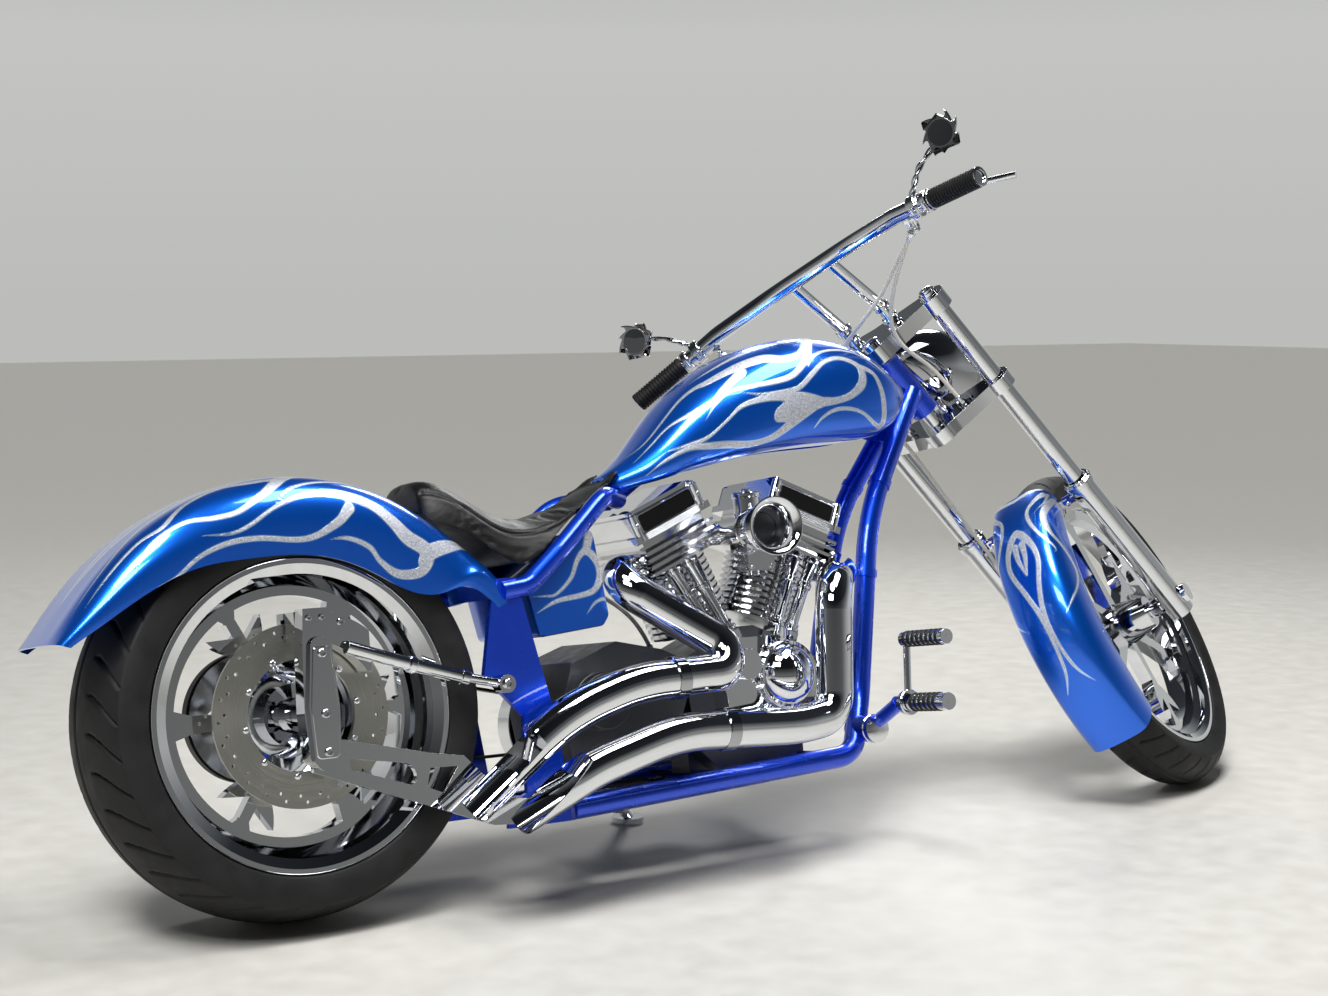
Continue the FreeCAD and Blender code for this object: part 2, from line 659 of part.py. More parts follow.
def make_swing_arms():
    """slotted billet arms from the rear axle to three bolts low on the frame plates"""
    pieces = []
    for face in ("-right_plate_y - fit_gap - plate_thick", "left_plate_y"):
        body = new_body("arm")
        padded(body, "XZ_Plane", arm_points, "plate_thick", middle=False)
        for points, arcs in ((slot_points, slot_arcs), (opening_points, {})):
            sketch = new_sketch(body, "XZ_Plane")
            outline(sketch, points, arcs)
            slot = body.newObject("PartDesign::Pocket", "Slot")
            slot.Profile = sketch
            slot.setExpression("Length", "4*Dims.plate_thick")
            slot.Midplane = True
        drilled(body, "XZ_Plane", [("0", "rear_tyre_r")], "axle_r + fit_gap", "4*plate_thick")
        body.Placement = Placement(Vector(0, size(face) + size("plate_thick"), 0), Rotation())
        pieces.append(body)
    return keep(group(pieces), "swing_arms", "chassis")


make_swing_arms()


def make_rear_axle():
    """axle with its spacers and end caps"""
    right_face, left_face = size("right_plate_y + fit_gap + plate_thick"), size("left_plate_y + plate_thick")
    z = REAR_AXLE.z
    shaft = rod((0, -right_face - 6, z), (0, left_face + 10, z), "axle_r")
    left_cap = rod((0, left_face + 0.3, z), (0, left_face + 12, z), "axle_r + 7")
    left_spacer = rod((0, size("belt_y + 8"), z), (0, size("left_plate_y - fit_gap"), z), "axle_r + 5")
    right_spacer = rod((0, -size("right_plate_y - fit_gap"), z),
                       (0, -size("rear_disc_y - disc_thick/2 + 1.2"), z), "axle_r + 5")
    return keep(fuse([shaft, left_cap, left_spacer, right_spacer]), "rear_axle", "chassis")


make_rear_axle()


def make_axle_carrier():
    """upright block outside the right arm, with a rounded cover plate and the brake anchor"""
    inner = "-(right_plate_y + 2*fit_gap + plate_thick)"
    base = new_body("carrier_block")
    points = [("-22", "262"), ("-27", "328"), ("-23", "430"), ("-18", "492"), ("22", "492"), ("26", "430"),
              ("30", "328"), ("27", "262")]
    padded(base, "XZ_Plane", points, "carrier_thick", {7: "-26"}, middle=False)
    base.Placement = Placement(Vector(0, size(inner), 0), Rotation())
    cover = new_body("carrier_cover")
    points = [("-18", "258"), ("-22", "340"), ("-13", "436"), ("21", "436"), ("28", "340"), ("25", "258")]
    padded(cover, "XZ_Plane", points, "9", {2: "-18", 5: "-22"}, middle=False)
    cover.Placement = Placement(Vector(0, size(inner) - size("carrier_thick"), 0), Rotation())
    hole = rod((0, -250, REAR_AXLE.z), (0, -100, REAR_AXLE.z), "axle_r + fit_gap")
    return keep(cut(fuse([base, cover]), [hole]), "axle_carrier", "chassis")


make_axle_carrier()


def make_rear_caliper():
    """brake caliper over the rear disc, held by a torque rod to the right frame plate"""
    y, z = size("rear_disc_y"), REAR_AXLE.z
    outer_face = size("right_plate_y + fit_gap + plate_thick")
    housing = rod((0, -outer_face, z), (0, -y + 26, z), "disc_r + 16")
    reach = size("disc_r + 30")
    inner = rod((0, -outer_face - 1, z), (0, -y + 27, z), "0.78*disc_r")
    beside = [block((-reach, -200, z - reach), (-20, 0, z + reach)),
              block((104, -200, z - reach), (reach, 0, z + reach)),
              block((-reach, -200, z - reach), (reach, 0, z + 60))]
    across = size("disc_thick/2 + run_gap")
    gap = rod((0, -y - across, z), (0, -y + across, z), "disc_r + run_gap")
    rod_y = -size("right_plate_y + plate_thick + 3")
    torque_rod = tube([(60, rod_y - 6, 428), (170, rod_y - 3, 392), (270, rod_y, 362)], [900], "11")
    rod_end = rod((262, rod_y, 364.4), (326, rod_y, 350), "8")
    front_eye = rod((334, -size("right_plate_y + fit_gap"), 348), (334, rod_y - 12, 348), "15")
    return keep(fuse([cut(housing, [inner, gap] + beside), torque_rod, rod_end, front_eye]), "rear_caliper",
                "chassis")


make_rear_caliper()


def make_shocks():
    """two shock absorbers lying low between the lower rails"""
    pieces = []
    seat_r = size("member_r + fit_gap")
    rear, front = cross_members[0][0] + seat_r, cross_members[1][0] - seat_r
    z = rail_height((rear + front) / 2)
    for side in (-1, 1):
        y = side * 52
        pieces.append(fuse([rod((rear, y, z), (rear + 155, y, z), "24"),
                            rod((rear + 155, y, z), (front, y, z), "9")]))
    return keep(group(pieces), "shock_absorbers", "chassis")


make_shocks()

# Fenders

def arch_points(angle, crown, edge, half, centre):
    """points of one arched section, from the right edge over the crown to the left edge"""
    spread = [(-1, 0), (-0.985, 0.5), (-0.80, 0.87), (-0.42, 0.985), (0, 1), (0.42, 0.985), (0.80, 0.87),
              (0.985, 0.5), (1, 0)]
    turn = math.radians(angle)
    out = Vector(math.cos(turn), 0, math.sin(turn))
    points = []
    for side, rise in spread:
        points.append(centre + out * (edge + (crown - edge) * rise) + Vector(0, half * side, 0))
    return points


def spline(points):
    curve = Part.BSplineCurve()
    curve.interpolate(points)
    return curve.toShape()


def arch_section(angle, crown, edge, half, centre, wall):
    """closed wire of a thin arched wall"""
    outer = arch_points(angle, crown, edge, half, centre)
    inner = arch_points(angle, crown - wall, edge, half - wall, centre)
    return Part.Wire([spline(outer), Part.LineSegment(outer[-1], inner[-1]).toShape(),
                      spline(inner[::-1]), Part.LineSegment(inner[0], outer[0]).toShape()])


def filled_section(angle, crown, edge, half, centre, grow):
    """closed wire of the same arch, filled and grown a little"""
    outer = arch_points(angle, crown + grow, edge, half + grow, centre)
    inward = (centre - (outer[0] + outer[-1]) * 0.5).normalize() * 30
    corners = [outer[-1], outer[-1] + inward, outer[0] + inward, outer[0]]
    sides = [Part.LineSegment(a, b).toShape() for a, b in zip(corners, corners[1:])]
    return Part.Wire([spline(outer)] + sides)


def envelope(sections, centre, grow):
    """what lies inside a fender's outer face, grown a little"""
    wires = [filled_section(a, c, e, w, centre, grow) for a, c, e, w in sections]
    return made(Part.makeLoft(wires, True, False), "Envelope")


# Sections of a fender: angle about the axle, its crown and its edge beyond the radius that it
# follows, and the inset from its half width
REAR_ARCH = [(23, 93, 44, 6), (31, 81, 20, 2), (40, 72, -56, 0), (52, 64, -78, 0), (75, 57, -80, 0),
             (100, 54, -74, 0), (122, 54, -44, 0), (140, 59, -10, 4), (152, 68, 22, 10), (160, 80, 56, 18)]
rear_sections = [(angle, size("rear_tyre_r") + crown, size("rear_tyre_r") + edge,
                  size("rear_fender_half") - inset) for angle, crown, edge, inset in REAR_ARCH]


def make_rear_fender():
    """long arched shell round the rear tyre, with a kicked-up tail"""
    wires = [arch_section(a, c, e, w, REAR_AXLE, size("fender_wall")) for a, c, e, w in rear_sections]
    shell = made(Part.makeLoft(wires, True, False), "Shell")
    plate_tops = [("300", "380"), ("300", "600"), ("500", "600"), ("500", "380")]
    clear = [plate(plate_tops, face, "plate_thick + 2*fit_gap")
             for face in ("-right_plate_y - fit_gap", "left_plate_y - 2*fit_gap - plate_thick")]
    clear += [tube(p, rail_bends, "rail_tube_r + fit_gap") for p in (rail_points, mirrored(rail_points))]
    return keep(cut(shell, clear), "rear_fender", "chassis")


make_rear_fender()

front_half = size("front_fender_half")
FRONT_HUB = Vector(size("fork_offset"), 0, 0)
FRONT_ARCH = [(89, -2, -76, 3), (98, 0, -76, 2), (118, 0, -86, 0), (140, 0, -86, 0), (160, 0, -82, 1),
              (174, 2, -72, 2), (182, 5, -62, 3)]
front_sections = [(angle, size("front_fender_r") + crown, size("front_fender_r") + edge, front_half - inset)
                  for angle, crown, edge, inset in FRONT_ARCH]


def make_front_fender():
    """arched shell over the rear of the front tyre, drawn in the fork's frame"""
    wires = [arch_section(a, c, e, w, FRONT_HUB, size("fender_wall")) for a, c, e, w in front_sections]
    shell = made(Part.makeLoft(wires, True, False), "Shell")
    return keep(shell, "front_fender", "steering")


make_front_fender()


def fender_stay(side):
    """bracket from one slider to the front fender's side"""
    inner, outer = side * (front_half - 8), side * size("fork_y - slider_r + 6")
    bar = block((58, min(inner, outer), 306), (74, max(inner, outer), 322))
    return cut(bar, [envelope(front_sections, FRONT_HUB, size("fit_gap"))])


# Seat, tanks

tank_stations = [(628, 694, 664, 30), (680, 728, 672, 66), (770, 818, 692, 104), (880, 896, 714, 134),
                 (1000, 935, 730, 149), (1110, 936, 737, 150), (1190, 908, 750, 138), (1250, 862, 796, 100)]


def tank_wire(x, top, low, half):
    """closed wire of one cross section of the fuel tank"""
    rise = top - low
    right = [(-0.70, 0.0), (-0.93, 0.10), (-1.0, 0.38), (-0.90, 0.68), (-0.58, 0.92), (0, 1)]
    left = [(-side, up) for side, up in right[-2::-1]]
    points = [Vector(x, half * side, low + rise * up) for side, up in right + left]
    return Part.Wire([spline(points), Part.LineSegment(points[-1], points[0]).toShape()])


def tank_loft(grow):
    """the tank before its cuts, grown all round"""
    middle = (tank_stations[0][0] + tank_stations[-1][0]) / 2
    wires = []
    for x, top, low, half in tank_stations:
        wires.append(tank_wire(x + (grow if x > middle else -grow), top + grow, low - grow, half + grow))
    return made(Part.makeLoft(wires, True, False), "Tank")


seat_stations = [(236, 683, 640, 74), (268, 700, 610, 106), (330, 664, 575, 128), (390, 630, 540, 134),
                 (445, 624, 560, 128), (520, 643, 615, 108), (590, 674, 652, 80), (650, 700, 684, 40)]


def pillow_wire(x, top, low, half):
    """closed wire of one cross section of the seat"""
    rise = top - low
    points = [Vector(x, -half, low), Vector(x, -half * 0.97, low + 0.42 * rise),
              Vector(x, -half * 0.7, low + 0.86 * rise), Vector(x, 0, top),
              Vector(x, half * 0.7, low + 0.86 * rise), Vector(x, half * 0.97, low + 0.42 * rise),
              Vector(x, half, low)]
    return Part.Wire([spline(points), Part.LineSegment(points[-1], points[0]).toShape()])


def make_seat():
    """low saddle over the rails, its raised back lying on the rear fender"""
    body = made(Part.makeLoft([pillow_wire(*s) for s in seat_stations], True, False), "Pad")
    clear = [envelope(rear_sections, REAR_AXLE, 3 * size("fit_gap")), tank_loft(2 * size("fit_gap"))]
    clear += [tube(p, rail_bends, "rail_tube_r + fit_gap") for p in (rail_points, mirrored(rail_points))]
    clear.append(tube(backbone_points, backbone_bends, "backbone_r + fit_gap"))
    return keep(cut(body, clear), "seat", "chassis")


make_seat()

def make_fuel_tank():
    """stretched teardrop tank with a tunnel for the backbone"""
    body = tank_loft(0)
    tunnel = tube(backbone_points, backbone_bends, "backbone_r + 2*fit_gap")
    slot = new_body("tunnel")
    high, knee, low = backbone_points
    padded(slot, "XZ_Plane", [(low[0] - 40, 600), (low[0] - 40, low[2] - 10), (knee[0], knee[2] + 10),
                              (high[0], high[2] + 10), (high[0], 600)], "50")
    head = rod(from_fork(0, 0, 560), from_fork(0, 0, 960), "neck_r + 22")
    trees = primitive("Box", FORK * Placement(Vector(-57, -220, size("top_tree_along") - 8), Rotation()))
    trees.Length, trees.Width, trees.Height = 200, 440, 200
    rails = [tube(p, rail_bends, "rail_tube_r + 2*fit_gap") for p in (rail_points, mirrored(rail_points))]
    return keep(cut(body, [tunnel, slot, head, trees] + rails), "fuel_tank", "chassis")


make_fuel_tank()

oil_points = [("406", "500"), ("474", "550"), ("541", "606"), ("562", "446"), ("550", "430"), ("424", "418")]


def make_oil_tank():
    """oil tank under the seat, its side shown between the rails"""
    body = new_body("oil_tank")
    padded(body, "XZ_Plane", oil_points, "2*(cradle_y - 12)", {3: "-14"})
    clear = [tube(p, rail_bends, "rail_tube_r + fit_gap") for p in (rail_points, mirrored(rail_points))]
    return keep(cut(body, clear), "oil_tank", "chassis")


make_oil_tank()


def hose(points):
    """hose along a chosen route, with arcs as large as its runs allow"""
    return tube(points, soft_bends(points), "hose_r")


def make_oil_line():
    """hose between the oil tank's front and the crankcase"""
    line = hose([(555.2, 64, 500.04), (612, 64, 507.5), (700, 64, 462), (730.3, 64, 417.7),
                 (749.9, 64, 371.9)])
    return keep(line, "oil_line", "chassis")


make_oil_line()

# Engine

crank = Vector(size("crank_x"), 0, size("crank_z"))
half_vee = size("vee_angle/2")


def vee(tilt):
    """frame of one cylinder: Z along its bore, X fore and aft"""
    return Placement(crank, Rotation(Vector(0, 1, 0), tilt))


def make_crankcase():
    """crankcase with two inclined decks for the barrels"""
    body = new_body("crankcase")
    points = [("crank_x - 118", "crank_z - 60"), ("crank_x - 60", "crank_z - 116"),
              ("crank_x + 70", "crank_z - 116"), ("crank_x + 122", "crank_z - 50"),
              ("crank_x + 132", "crank_z + 80"), ("crank_x + 132", "crank_z + 100"),
              ("crank_x + 20", "crank_z + 148"), ("crank_x - 20", "crank_z + 148"),
              ("crank_x - 132", "crank_z + 100"), ("crank_x - 132", "crank_z + 60")]
    padded(body, "XZ_Plane", points, "case_across")
    decks = []
    for tilt in (-half_vee, half_vee):
        piece = primitive("Box", vee(tilt) * Placement(Vector(-90, -100, size("deck_r")), Rotation()))
        piece.Length, piece.Width, piece.Height = 180, 200, 200
        decks.append(piece)
    lugs = []
    for x, z in cross_members[1:]:
        low_x, high_x = sorted((x, x + (50 if x < crank.x else -50)))
        lugs.append(block((low_x - 12, -30, z + 6), (high_x + 12, 30, crank.z - 50)))
    clear = [rod((x, -cradle_y, z), (x, cradle_y, z), "member_r + fit_gap") for x, z in cross_members]
    return keep(cut(fuse([body] + lugs), decks + clear), "crankcase", "chassis")


make_crankcase()


def barrel_profile():
    """finned barrel as a turned profile: along the bore, radius"""
    points = [("0", "0"), ("0", "cylinder_r")]
    first = 6
    count = int(size("fin_count"))
    for i in range(count):
        low = "%g + %d*fin_pitch" % (first, i)
        points += [(low, "cylinder_r"), (low, "fin_r"), ("%s + 0.35*fin_pitch" % low, "fin_r"),
                   ("%s + 0.35*fin_pitch" % low, "cylinder_r")]
    points += [("barrel_length", "cylinder_r"), ("barrel_length", "0")]
    return points


def make_cylinders():
    """two finned barrels in a narrow vee"""
    pieces = []
    lean_over = Placement(Vector(0, 0, size("deck_r + fit_gap")), Rotation(Vector(0, 1, 0), -90))
    for tilt in (-half_vee, half_vee):
        body = new_body("barrel")
        revolved(body, barrel_profile())
        body.Placement = vee(tilt) * lean_over
        start = crank.x - 2 if tilt < 0 else crank.x - 198
        pieces.append(cut(body, [block((start, -150, crank.z), (start + 200, 150, crank.z + 420))]))
    return keep(group(pieces), "cylinders", "chassis")


make_cylinders()


def make_heads():
    """finned cylinder heads"""
    pieces = []
    low = size("deck_r + barrel_length + 2*fit_gap")
    for tilt in (-half_vee, half_vee):
        layers = []
        layer = (size("head_length") - 10) / 4
        core = block((-68, -80, low), (68, 80, low + size("head_length")))
        layers.append(core)
        for i in range(4):
            layers.append(block((-80, -97, low + i * layer), (80, 97, low + i * layer + 0.45 * layer)))
        joined = fuse(layers)
        joined.Placement = vee(tilt)
        pieces.append(joined)
    return keep(group(pieces), "cylinder_heads", "chassis")


make_heads()


def make_rocker_boxes():
    """stepped rocker boxes with a plain panel on each side"""
    pieces = []
    low = size("deck_r + barrel_length + head_length + 3*fit_gap")
    wide, across, tall = size("box_wide/2"), size("box_across/2"), size("box_length")
    for tilt in (-half_vee, half_vee):
        base = block((-wide, -across, low), (wide, across, low + 0.22 * tall))
        middle = block((-wide + 6, -across + 5, low), (wide - 6, across - 5, low + 0.86 * tall))
        top = block((-wide + 12, -across + 12, low), (wide - 12, across - 12, low + tall))
        joined = fuse([base, middle, top])
        joined.Placement = vee(tilt)
        pieces.append(joined)
    return keep(group(pieces), "rocker_boxes", "chassis")


make_rocker_boxes()


def make_pushrods():
    """four pushrod tubes on the right of the engine, from the tappet blocks to the heads"""
    pieces = []
    foot, head = size("deck_r - 18 + fit_gap"), size("deck_r + barrel_length + fit_gap")
    ends = [block((-80, -130, foot - 20), (80, -60, foot)), block((-80, -130, head), (80, -60, head + 20))]
    for tilt in (-half_vee, half_vee):
        outward = 1 if tilt > 0 else -1
        for x_foot, x_head in ((22 * outward, 42 * outward), (-8 * outward, 4 * outward)):
            piece = cut(rod((x_foot, -102, foot - 4), (x_head, -90, head + 4), "pushrod_r"), ends)
            piece.Placement = vee(tilt) * piece.Placement
            pieces.append(piece)
    return keep(group(pieces), "pushrod_tubes", "chassis")


make_pushrods()


def make_cam_cover():
    """round cam cover and the nose of the gear case on the right"""
    y = -size("case_across/2 + fit_gap")
    x, z = size("crank_x + 50"), size("crank_z + 56")
    case = new_body("gear_case")
    points = [("crank_x - 70", "crank_z - 30"), ("crank_x + 40", "crank_z - 44"),
              ("crank_x + 112", "crank_z + 10"), ("crank_x + 112", "crank_z + 84"),
              ("crank_x + 40", "crank_z + 128"), ("crank_x - 40", "crank_z + 128"),
              ("crank_x - 84", "crank_z + 70")]
    padded(case, "XZ_Plane", points, "46", middle=False, reverse=False)
    case.Placement = Placement(Vector(0, y, 0), Rotation())
    tappets = []
    for tilt in (-half_vee, half_vee):
        tappet = primitive("Box", vee(tilt) * Placement(Vector(-25 + (7 if tilt > 0 else -7), y - 44, 80),
                                                        Rotation()))
        tappet.Length, tappet.Width, tappet.Height = 50, 40, size("deck_r - 18") - 80
        tappets.append(tappet)
    collar = rod((x, y - 45, z), (x, y - 58, z), "cam_r + 5")
    dome = new_body("cam_dome")
    revolved(dome, [("0", "0"), ("0", "cam_r"), ("cam_rise", "0")],
             {1: "-0.5*(cam_r^2 + cam_rise^2)/cam_rise"})
    dome.Placement = Placement(Vector(x, y - 57.9, z), Rotation(Vector(0, 0, 1), -90))
    side_cap = rod((x - 88, y - 45, z + 24), (x - 88, y - 66, z + 24), "0.5*cam_r")
    return keep(fuse([case, collar, dome, side_cap] + tappets), "cam_cover", "chassis")


make_cam_cover()


def head_clearance():
    """both cylinder heads and barrels as plain solids, grown by the gap between fitted pieces"""
    low = size("deck_r + barrel_length + fit_gap")
    solids = []
    for tilt in (-half_vee, half_vee):
        clear = primitive("Box", vee(tilt) * Placement(Vector(-80.3, -98, low), Rotation()))
        clear.Length, clear.Width, clear.Height = 160.6, 196, size("head_length + 2*fit_gap")
        barrel = rod((0, 0, size("deck_r")), (0, 0, low), "fin_r + fit_gap")
        barrel.Placement = vee(tilt) * barrel.Placement
        solids += [clear, barrel]
    return solids


intake_way = Vector(-0.12, -0.99, 0).normalize()
intake_start = Vector(866, -60, 578)
intake_end = intake_start + intake_way * 108


def make_carburettor():
    """carburettor body between the cylinders on the right"""
    core = rod(tuple(intake_start), tuple(intake_end), "34")
    bowl = block((832, -150, 505), (888, -96, 565))
    top = rod((860, -118, 575), (860, -118, 640), "24")
    manifold = rod((790, -48, 578), (930, -48, 578), "20")
    return keep(cut(fuse([core, bowl, top, manifold]), head_clearance()), "carburettor", "chassis")


make_carburettor()


def make_horn():
    """flared intake horn on the outer end of the carburettor"""
    body = new_body("intake_horn")
    length = "60"
    points = [("0", "horn_throat_r"), ("0", "horn_throat_r + 10"), ("6", "horn_throat_r + 10"),
              ("8", "horn_throat_r + 3"), (length, "horn_r + 4"), (length, "horn_r")]
    revolved(body, points, {3: "90", 5: "-84"})
    body.Placement = Placement(intake_end + intake_way * size("fit_gap"),
                               Rotation(Vector(1, 0, 0), intake_way))
    return keep(body, "intake_horn", "chassis")


make_horn()


def make_gearbox():
    """gearbox behind the engine"""
    body = new_body("gearbox")
    x, z = "gearbox_x", "gearbox_z"
    points = [(x + " - 82", z + " - 62"), (x + " + 110", z + " - 74"),
              ("crank_x - 132 - fit_gap", "crank_z + 62"), ("crank_x - 132 - fit_gap", "crank_z + 94"),
              (x + " + 110", z + " + 120"), (x + " + 20", z + " + 140"), (x + " - 70", z + " + 110"),
              (x + " - 96", z + " + 30")]
    padded(body, "XZ_Plane", points, "196")
    cover = rod((size(x) - 20, -98, size(z) + 40), (size(x) - 20, -122, size(z) + 40), "48")
    shaft_x, shaft_z, middle = size(x), size(z), size("belt_y")
    pulley = rod((shaft_x, middle - 12, shaft_z), (shaft_x, middle + 12, shaft_z), "front_pulley_r")
    shaft = rod((shaft_x, 90, shaft_z), (shaft_x, size("belt_y + belt_width/2") + 5.7, shaft_z), "16")
    return keep(fuse([body, cover, pulley, shaft]), "gearbox", "chassis")


make_gearbox()


def make_primary():
    """long primary drive cover on the left of the engine and gearbox"""
    body = new_body("primary_cover")
    front, rear = "crank_x", "gearbox_x"
    points = [(rear, "gearbox_z - 92"), (front, "crank_z - 100"), (front, "crank_z + 100"),
              (rear, "gearbox_z + 92")]
    padded(body, "XZ_Plane", points, "46", {1: "104", 3: "96"}, middle=False, reverse=True)
    inner = size("belt_y + belt_width/2") + 6
    body.Placement = Placement(Vector(0, inner, 0), Rotation())
    boss = rod((crank.x, size("case_across/2 + fit_gap"), crank.z), (crank.x, inner, crank.z), "72")
    return keep(fuse([body, boss]), "primary_cover", "chassis")


make_primary()


def rim_spot(x, z, radius, angle):
    """point of a circle in the plane along the machine"""
    return Vector(x + radius * math.cos(angle), 0, z + radius * math.sin(angle))


def belt_loop(rear, front):
    """closed outline of two arcs and their outer tangents; each end is given as x, z and radius"""
    (x1, z1, r1), (x2, z2, r2) = rear, front
    heading = math.atan2(z2 - z1, x2 - x1)
    spread = math.acos((r1 - r2) / math.hypot(x2 - x1, z2 - z1))
    up, low = heading + spread, heading - spread
    corners = [rim_spot(*rear, up), rim_spot(*front, up), rim_spot(*front, low), rim_spot(*rear, low)]
    return Part.Wire([Part.LineSegment(corners[0], corners[1]).toShape(),
                      Part.Arc(corners[1], rim_spot(*front, heading), corners[2]).toShape(),
                      Part.LineSegment(corners[2], corners[3]).toShape(),
                      Part.Arc(corners[3], rim_spot(*rear, heading + math.pi), corners[0]).toShape()])


def make_drive_belt():
    """final drive belt as one loop round the two pulleys"""
    loops = []
    for thick in (size("belt_thick"), 0):
        loops.append(belt_loop((0, size("rear_tyre_r"), size("pulley_r + 1") + thick),
                               (size("gearbox_x"), size("gearbox_z"),
                                size("front_pulley_r + fit_gap") + thick)))
    face = Part.Face(loops[0]).cut(Part.Face(loops[1]))
    loop = face.extrude(Vector(0, size("belt_width"), 0))
    loop.translate(Vector(0, size("belt_y - belt_width/2"), 0))
    return keep(made(loop, "Belt"), "drive_belt", "chassis")


make_drive_belt()


# Exhaust

front_pipe = [(1030, -30, 520), (1086, -72, 499), (966, -213, 472), (942, -215, 240), (850, -230, 231),
              (600, -240, 243), (440, -242, 202), (294, -244, 140)]
front_bends = [42, 60, 50, 300, 400, 400]
rear_pipe = [(700, -30, 524), (554, -130, 512), (797, -218, 336), (540, -222, 330), (400, -224, 290),
             (224, -226, 164)]
rear_bends = [40, 38, 400, 400]
slash_facing = Vector(-0.60, -0.30, 0.74)


def exhaust_pipe(points, bends):
    """one exhaust pipe, open at its slash-cut end"""
    outer = tube(points, bends, "pipe_r")
    last, before = Vector(*points[-1]), Vector(*points[-2])
    direction = (last - before).normalize()
    mouth = rod(tuple(last - direction * 110), tuple(last + direction * 5), "pipe_r - pipe_wall")
    reach = 6 * size("pipe_r")
    turned = Placement(last - direction * 1.6 * size("pipe_r"), Rotation(Vector(0, 0, 1), slash_facing))
    slash = primitive("Box", turned * Placement(Vector(-reach / 2, -reach / 2, 0), Rotation()))
    slash.Length, slash.Width, slash.Height = reach, reach, reach
    return cut(outer, [mouth, slash] + head_clearance())


keep(group([exhaust_pipe(front_pipe, front_bends), exhaust_pipe(rear_pipe, rear_bends)]), "exhaust_pipes",
     "chassis")

# Controls at the feet

def make_foot_controls():
    """on each side a bracket on the down tube, a peg and a pedal or shift lever"""
    brackets, pegs, levers = [], [], []
    for side in (-1, 1):
        bracket = fuse([rod((1072, side * 160, 205), (1072, side * 92, 205), "24"),
                        rod((1078, side * 152, 215), (1078, side * 226, 250), "13"),
                        rod((1078, side * 216, 250), (1078, side * 262, 250), "12")])
        brackets.append(bracket)
        pegs.append(rod((1078, side * 262.3, 250), (1078, side * 366, 250), "peg_r"))
        pivot = rod((1078, side * 244, 250), (1078, side * 260, 250), "21")
        arm = rod((1078, side * 252, 265), (1086, side * 252, 362), "6.5")
        pad = rod((1086, side * 244, 362), (1086, side * 366, 362), "peg_r - 2")
        bore = rod((1078, side * 200, 250), (1078, side * 268, 250), "12 + fit_gap")
        levers.append(fuse([cut(pivot, [bore]), arm, pad]))
    keep(group(pegs), "foot_pegs", "chassis")
    keep(group(levers), "foot_levers", "chassis")
    return brackets


control_brackets = make_foot_controls()

# Front end

def make_headlight():
    """bullet headlight on a short bracket from the lower tree"""
    body = new_body("headlight")
    r = "headlight_r"
    points = [("0", "0"), ("0", r + " - 6"), ("8", r), ("20", r), ("0.5*headlight_length", "0.92*" + r),
              ("headlight_length", "0")]
    revolved(body, points, {3: "-240", 4: "-118"})
    centre = Vector(198, 0, size("low_tree_along + headlight_lift"))
    backwards = Rotation(Vector(0, 1, 0), size("rake_angle")) * Rotation(Vector(0, 0, 1), 180)
    body.Placement = Placement(centre + Vector(math.cos(rake) * 20, 0, -math.sin(rake) * 20), backwards)
    return keep(body, "headlight", "steering")


make_headlight()


def make_tree(low, thick):
    """fork tree with two leg clamps round the tubes"""
    base = size(low)
    top = base + size(thick)
    x, leg_y = size("fork_offset"), size("fork_y")
    legs = [rod((x, y, base), (x, y, top), "fork_tube_r + 11") for y in (-leg_y, leg_y)]
    hub = rod((0, 0, base), (0, 0, top), "neck_r + 8")
    web = new_body("web")
    padded(web, "XY_Plane", [("-20", "neck_r"), ("fork_offset - 22", "fork_y"),
                             ("fork_offset + 20", "fork_y"), ("fork_offset + 6", "0"),
                             ("fork_offset + 20", "-fork_y"), ("fork_offset - 22", "-fork_y"),
                             ("-20", "-neck_r")], thick, middle=False)
    web.Placement = Placement(Vector(0, 0, base), Rotation())
    bores = [rod((x, y, base - 1), (x, y, top + 1), "fork_tube_r + fit_gap") for y in (-leg_y, leg_y)]
    return cut(fuse(legs + [hub, web]), bores)


stem = rod((0, 0, size("low_tree_along")), (0, 0, size("top_tree_along + top_tree_thick")), "stem_r")
doc.recompute()
post_foot = size("low_tree_along + 0.7*low_tree_thick")
post_head = size("low_tree_along + headlight_lift + 60")
post = cut(rod((78, 0, post_foot), (112, 0, post_head), "11"), [made(sub_parts["headlight"].Shape.copy())])
keep(fuse([post, make_tree("low_tree_along", "low_tree_thick"), stem,
           make_tree("top_tree_along", "top_tree_thick")]), "fork_trees", "steering")


def make_fork_tubes():
    """bright upper fork legs with their caps"""
    pieces = []
    top = size("top_tree_along + top_tree_thick")
    for side in (-1, 1):
        x, y = size("fork_offset"), side * size("fork_y")
        leg = rod((x, y, size("slider_top + fit_gap")), (x, y, top), "fork_tube_r")
        cap = rod((x, y, top), (x, y, top + 9), "fork_tube_r - 2")
        pieces.append(fuse([leg, cap]))
    return keep(group(pieces), "fork_tubes", "steering")


make_fork_tubes()


def make_sliders():
    """lower fork legs with the axle bores and a top ring"""
    pieces = []
    for side in (-1, 1):
        x, y = size("fork_offset"), side * size("fork_y")
        leg = rod((x, y, -size("slider_low")), (x, y, size("slider_top")), "slider_r")
        ring = rod((x, y, size("slider_top") - 16), (x, y, size("slider_top")), "slider_r + 3")
        bore = rod((x, y - 40, 0), (x, y + 40, 0), "axle_r + fit_gap")
        pieces.append(cut(fuse([leg, ring, fender_stay(side)]), [bore]))
    return keep(group(pieces), "fork_sliders", "steering")


make_sliders()


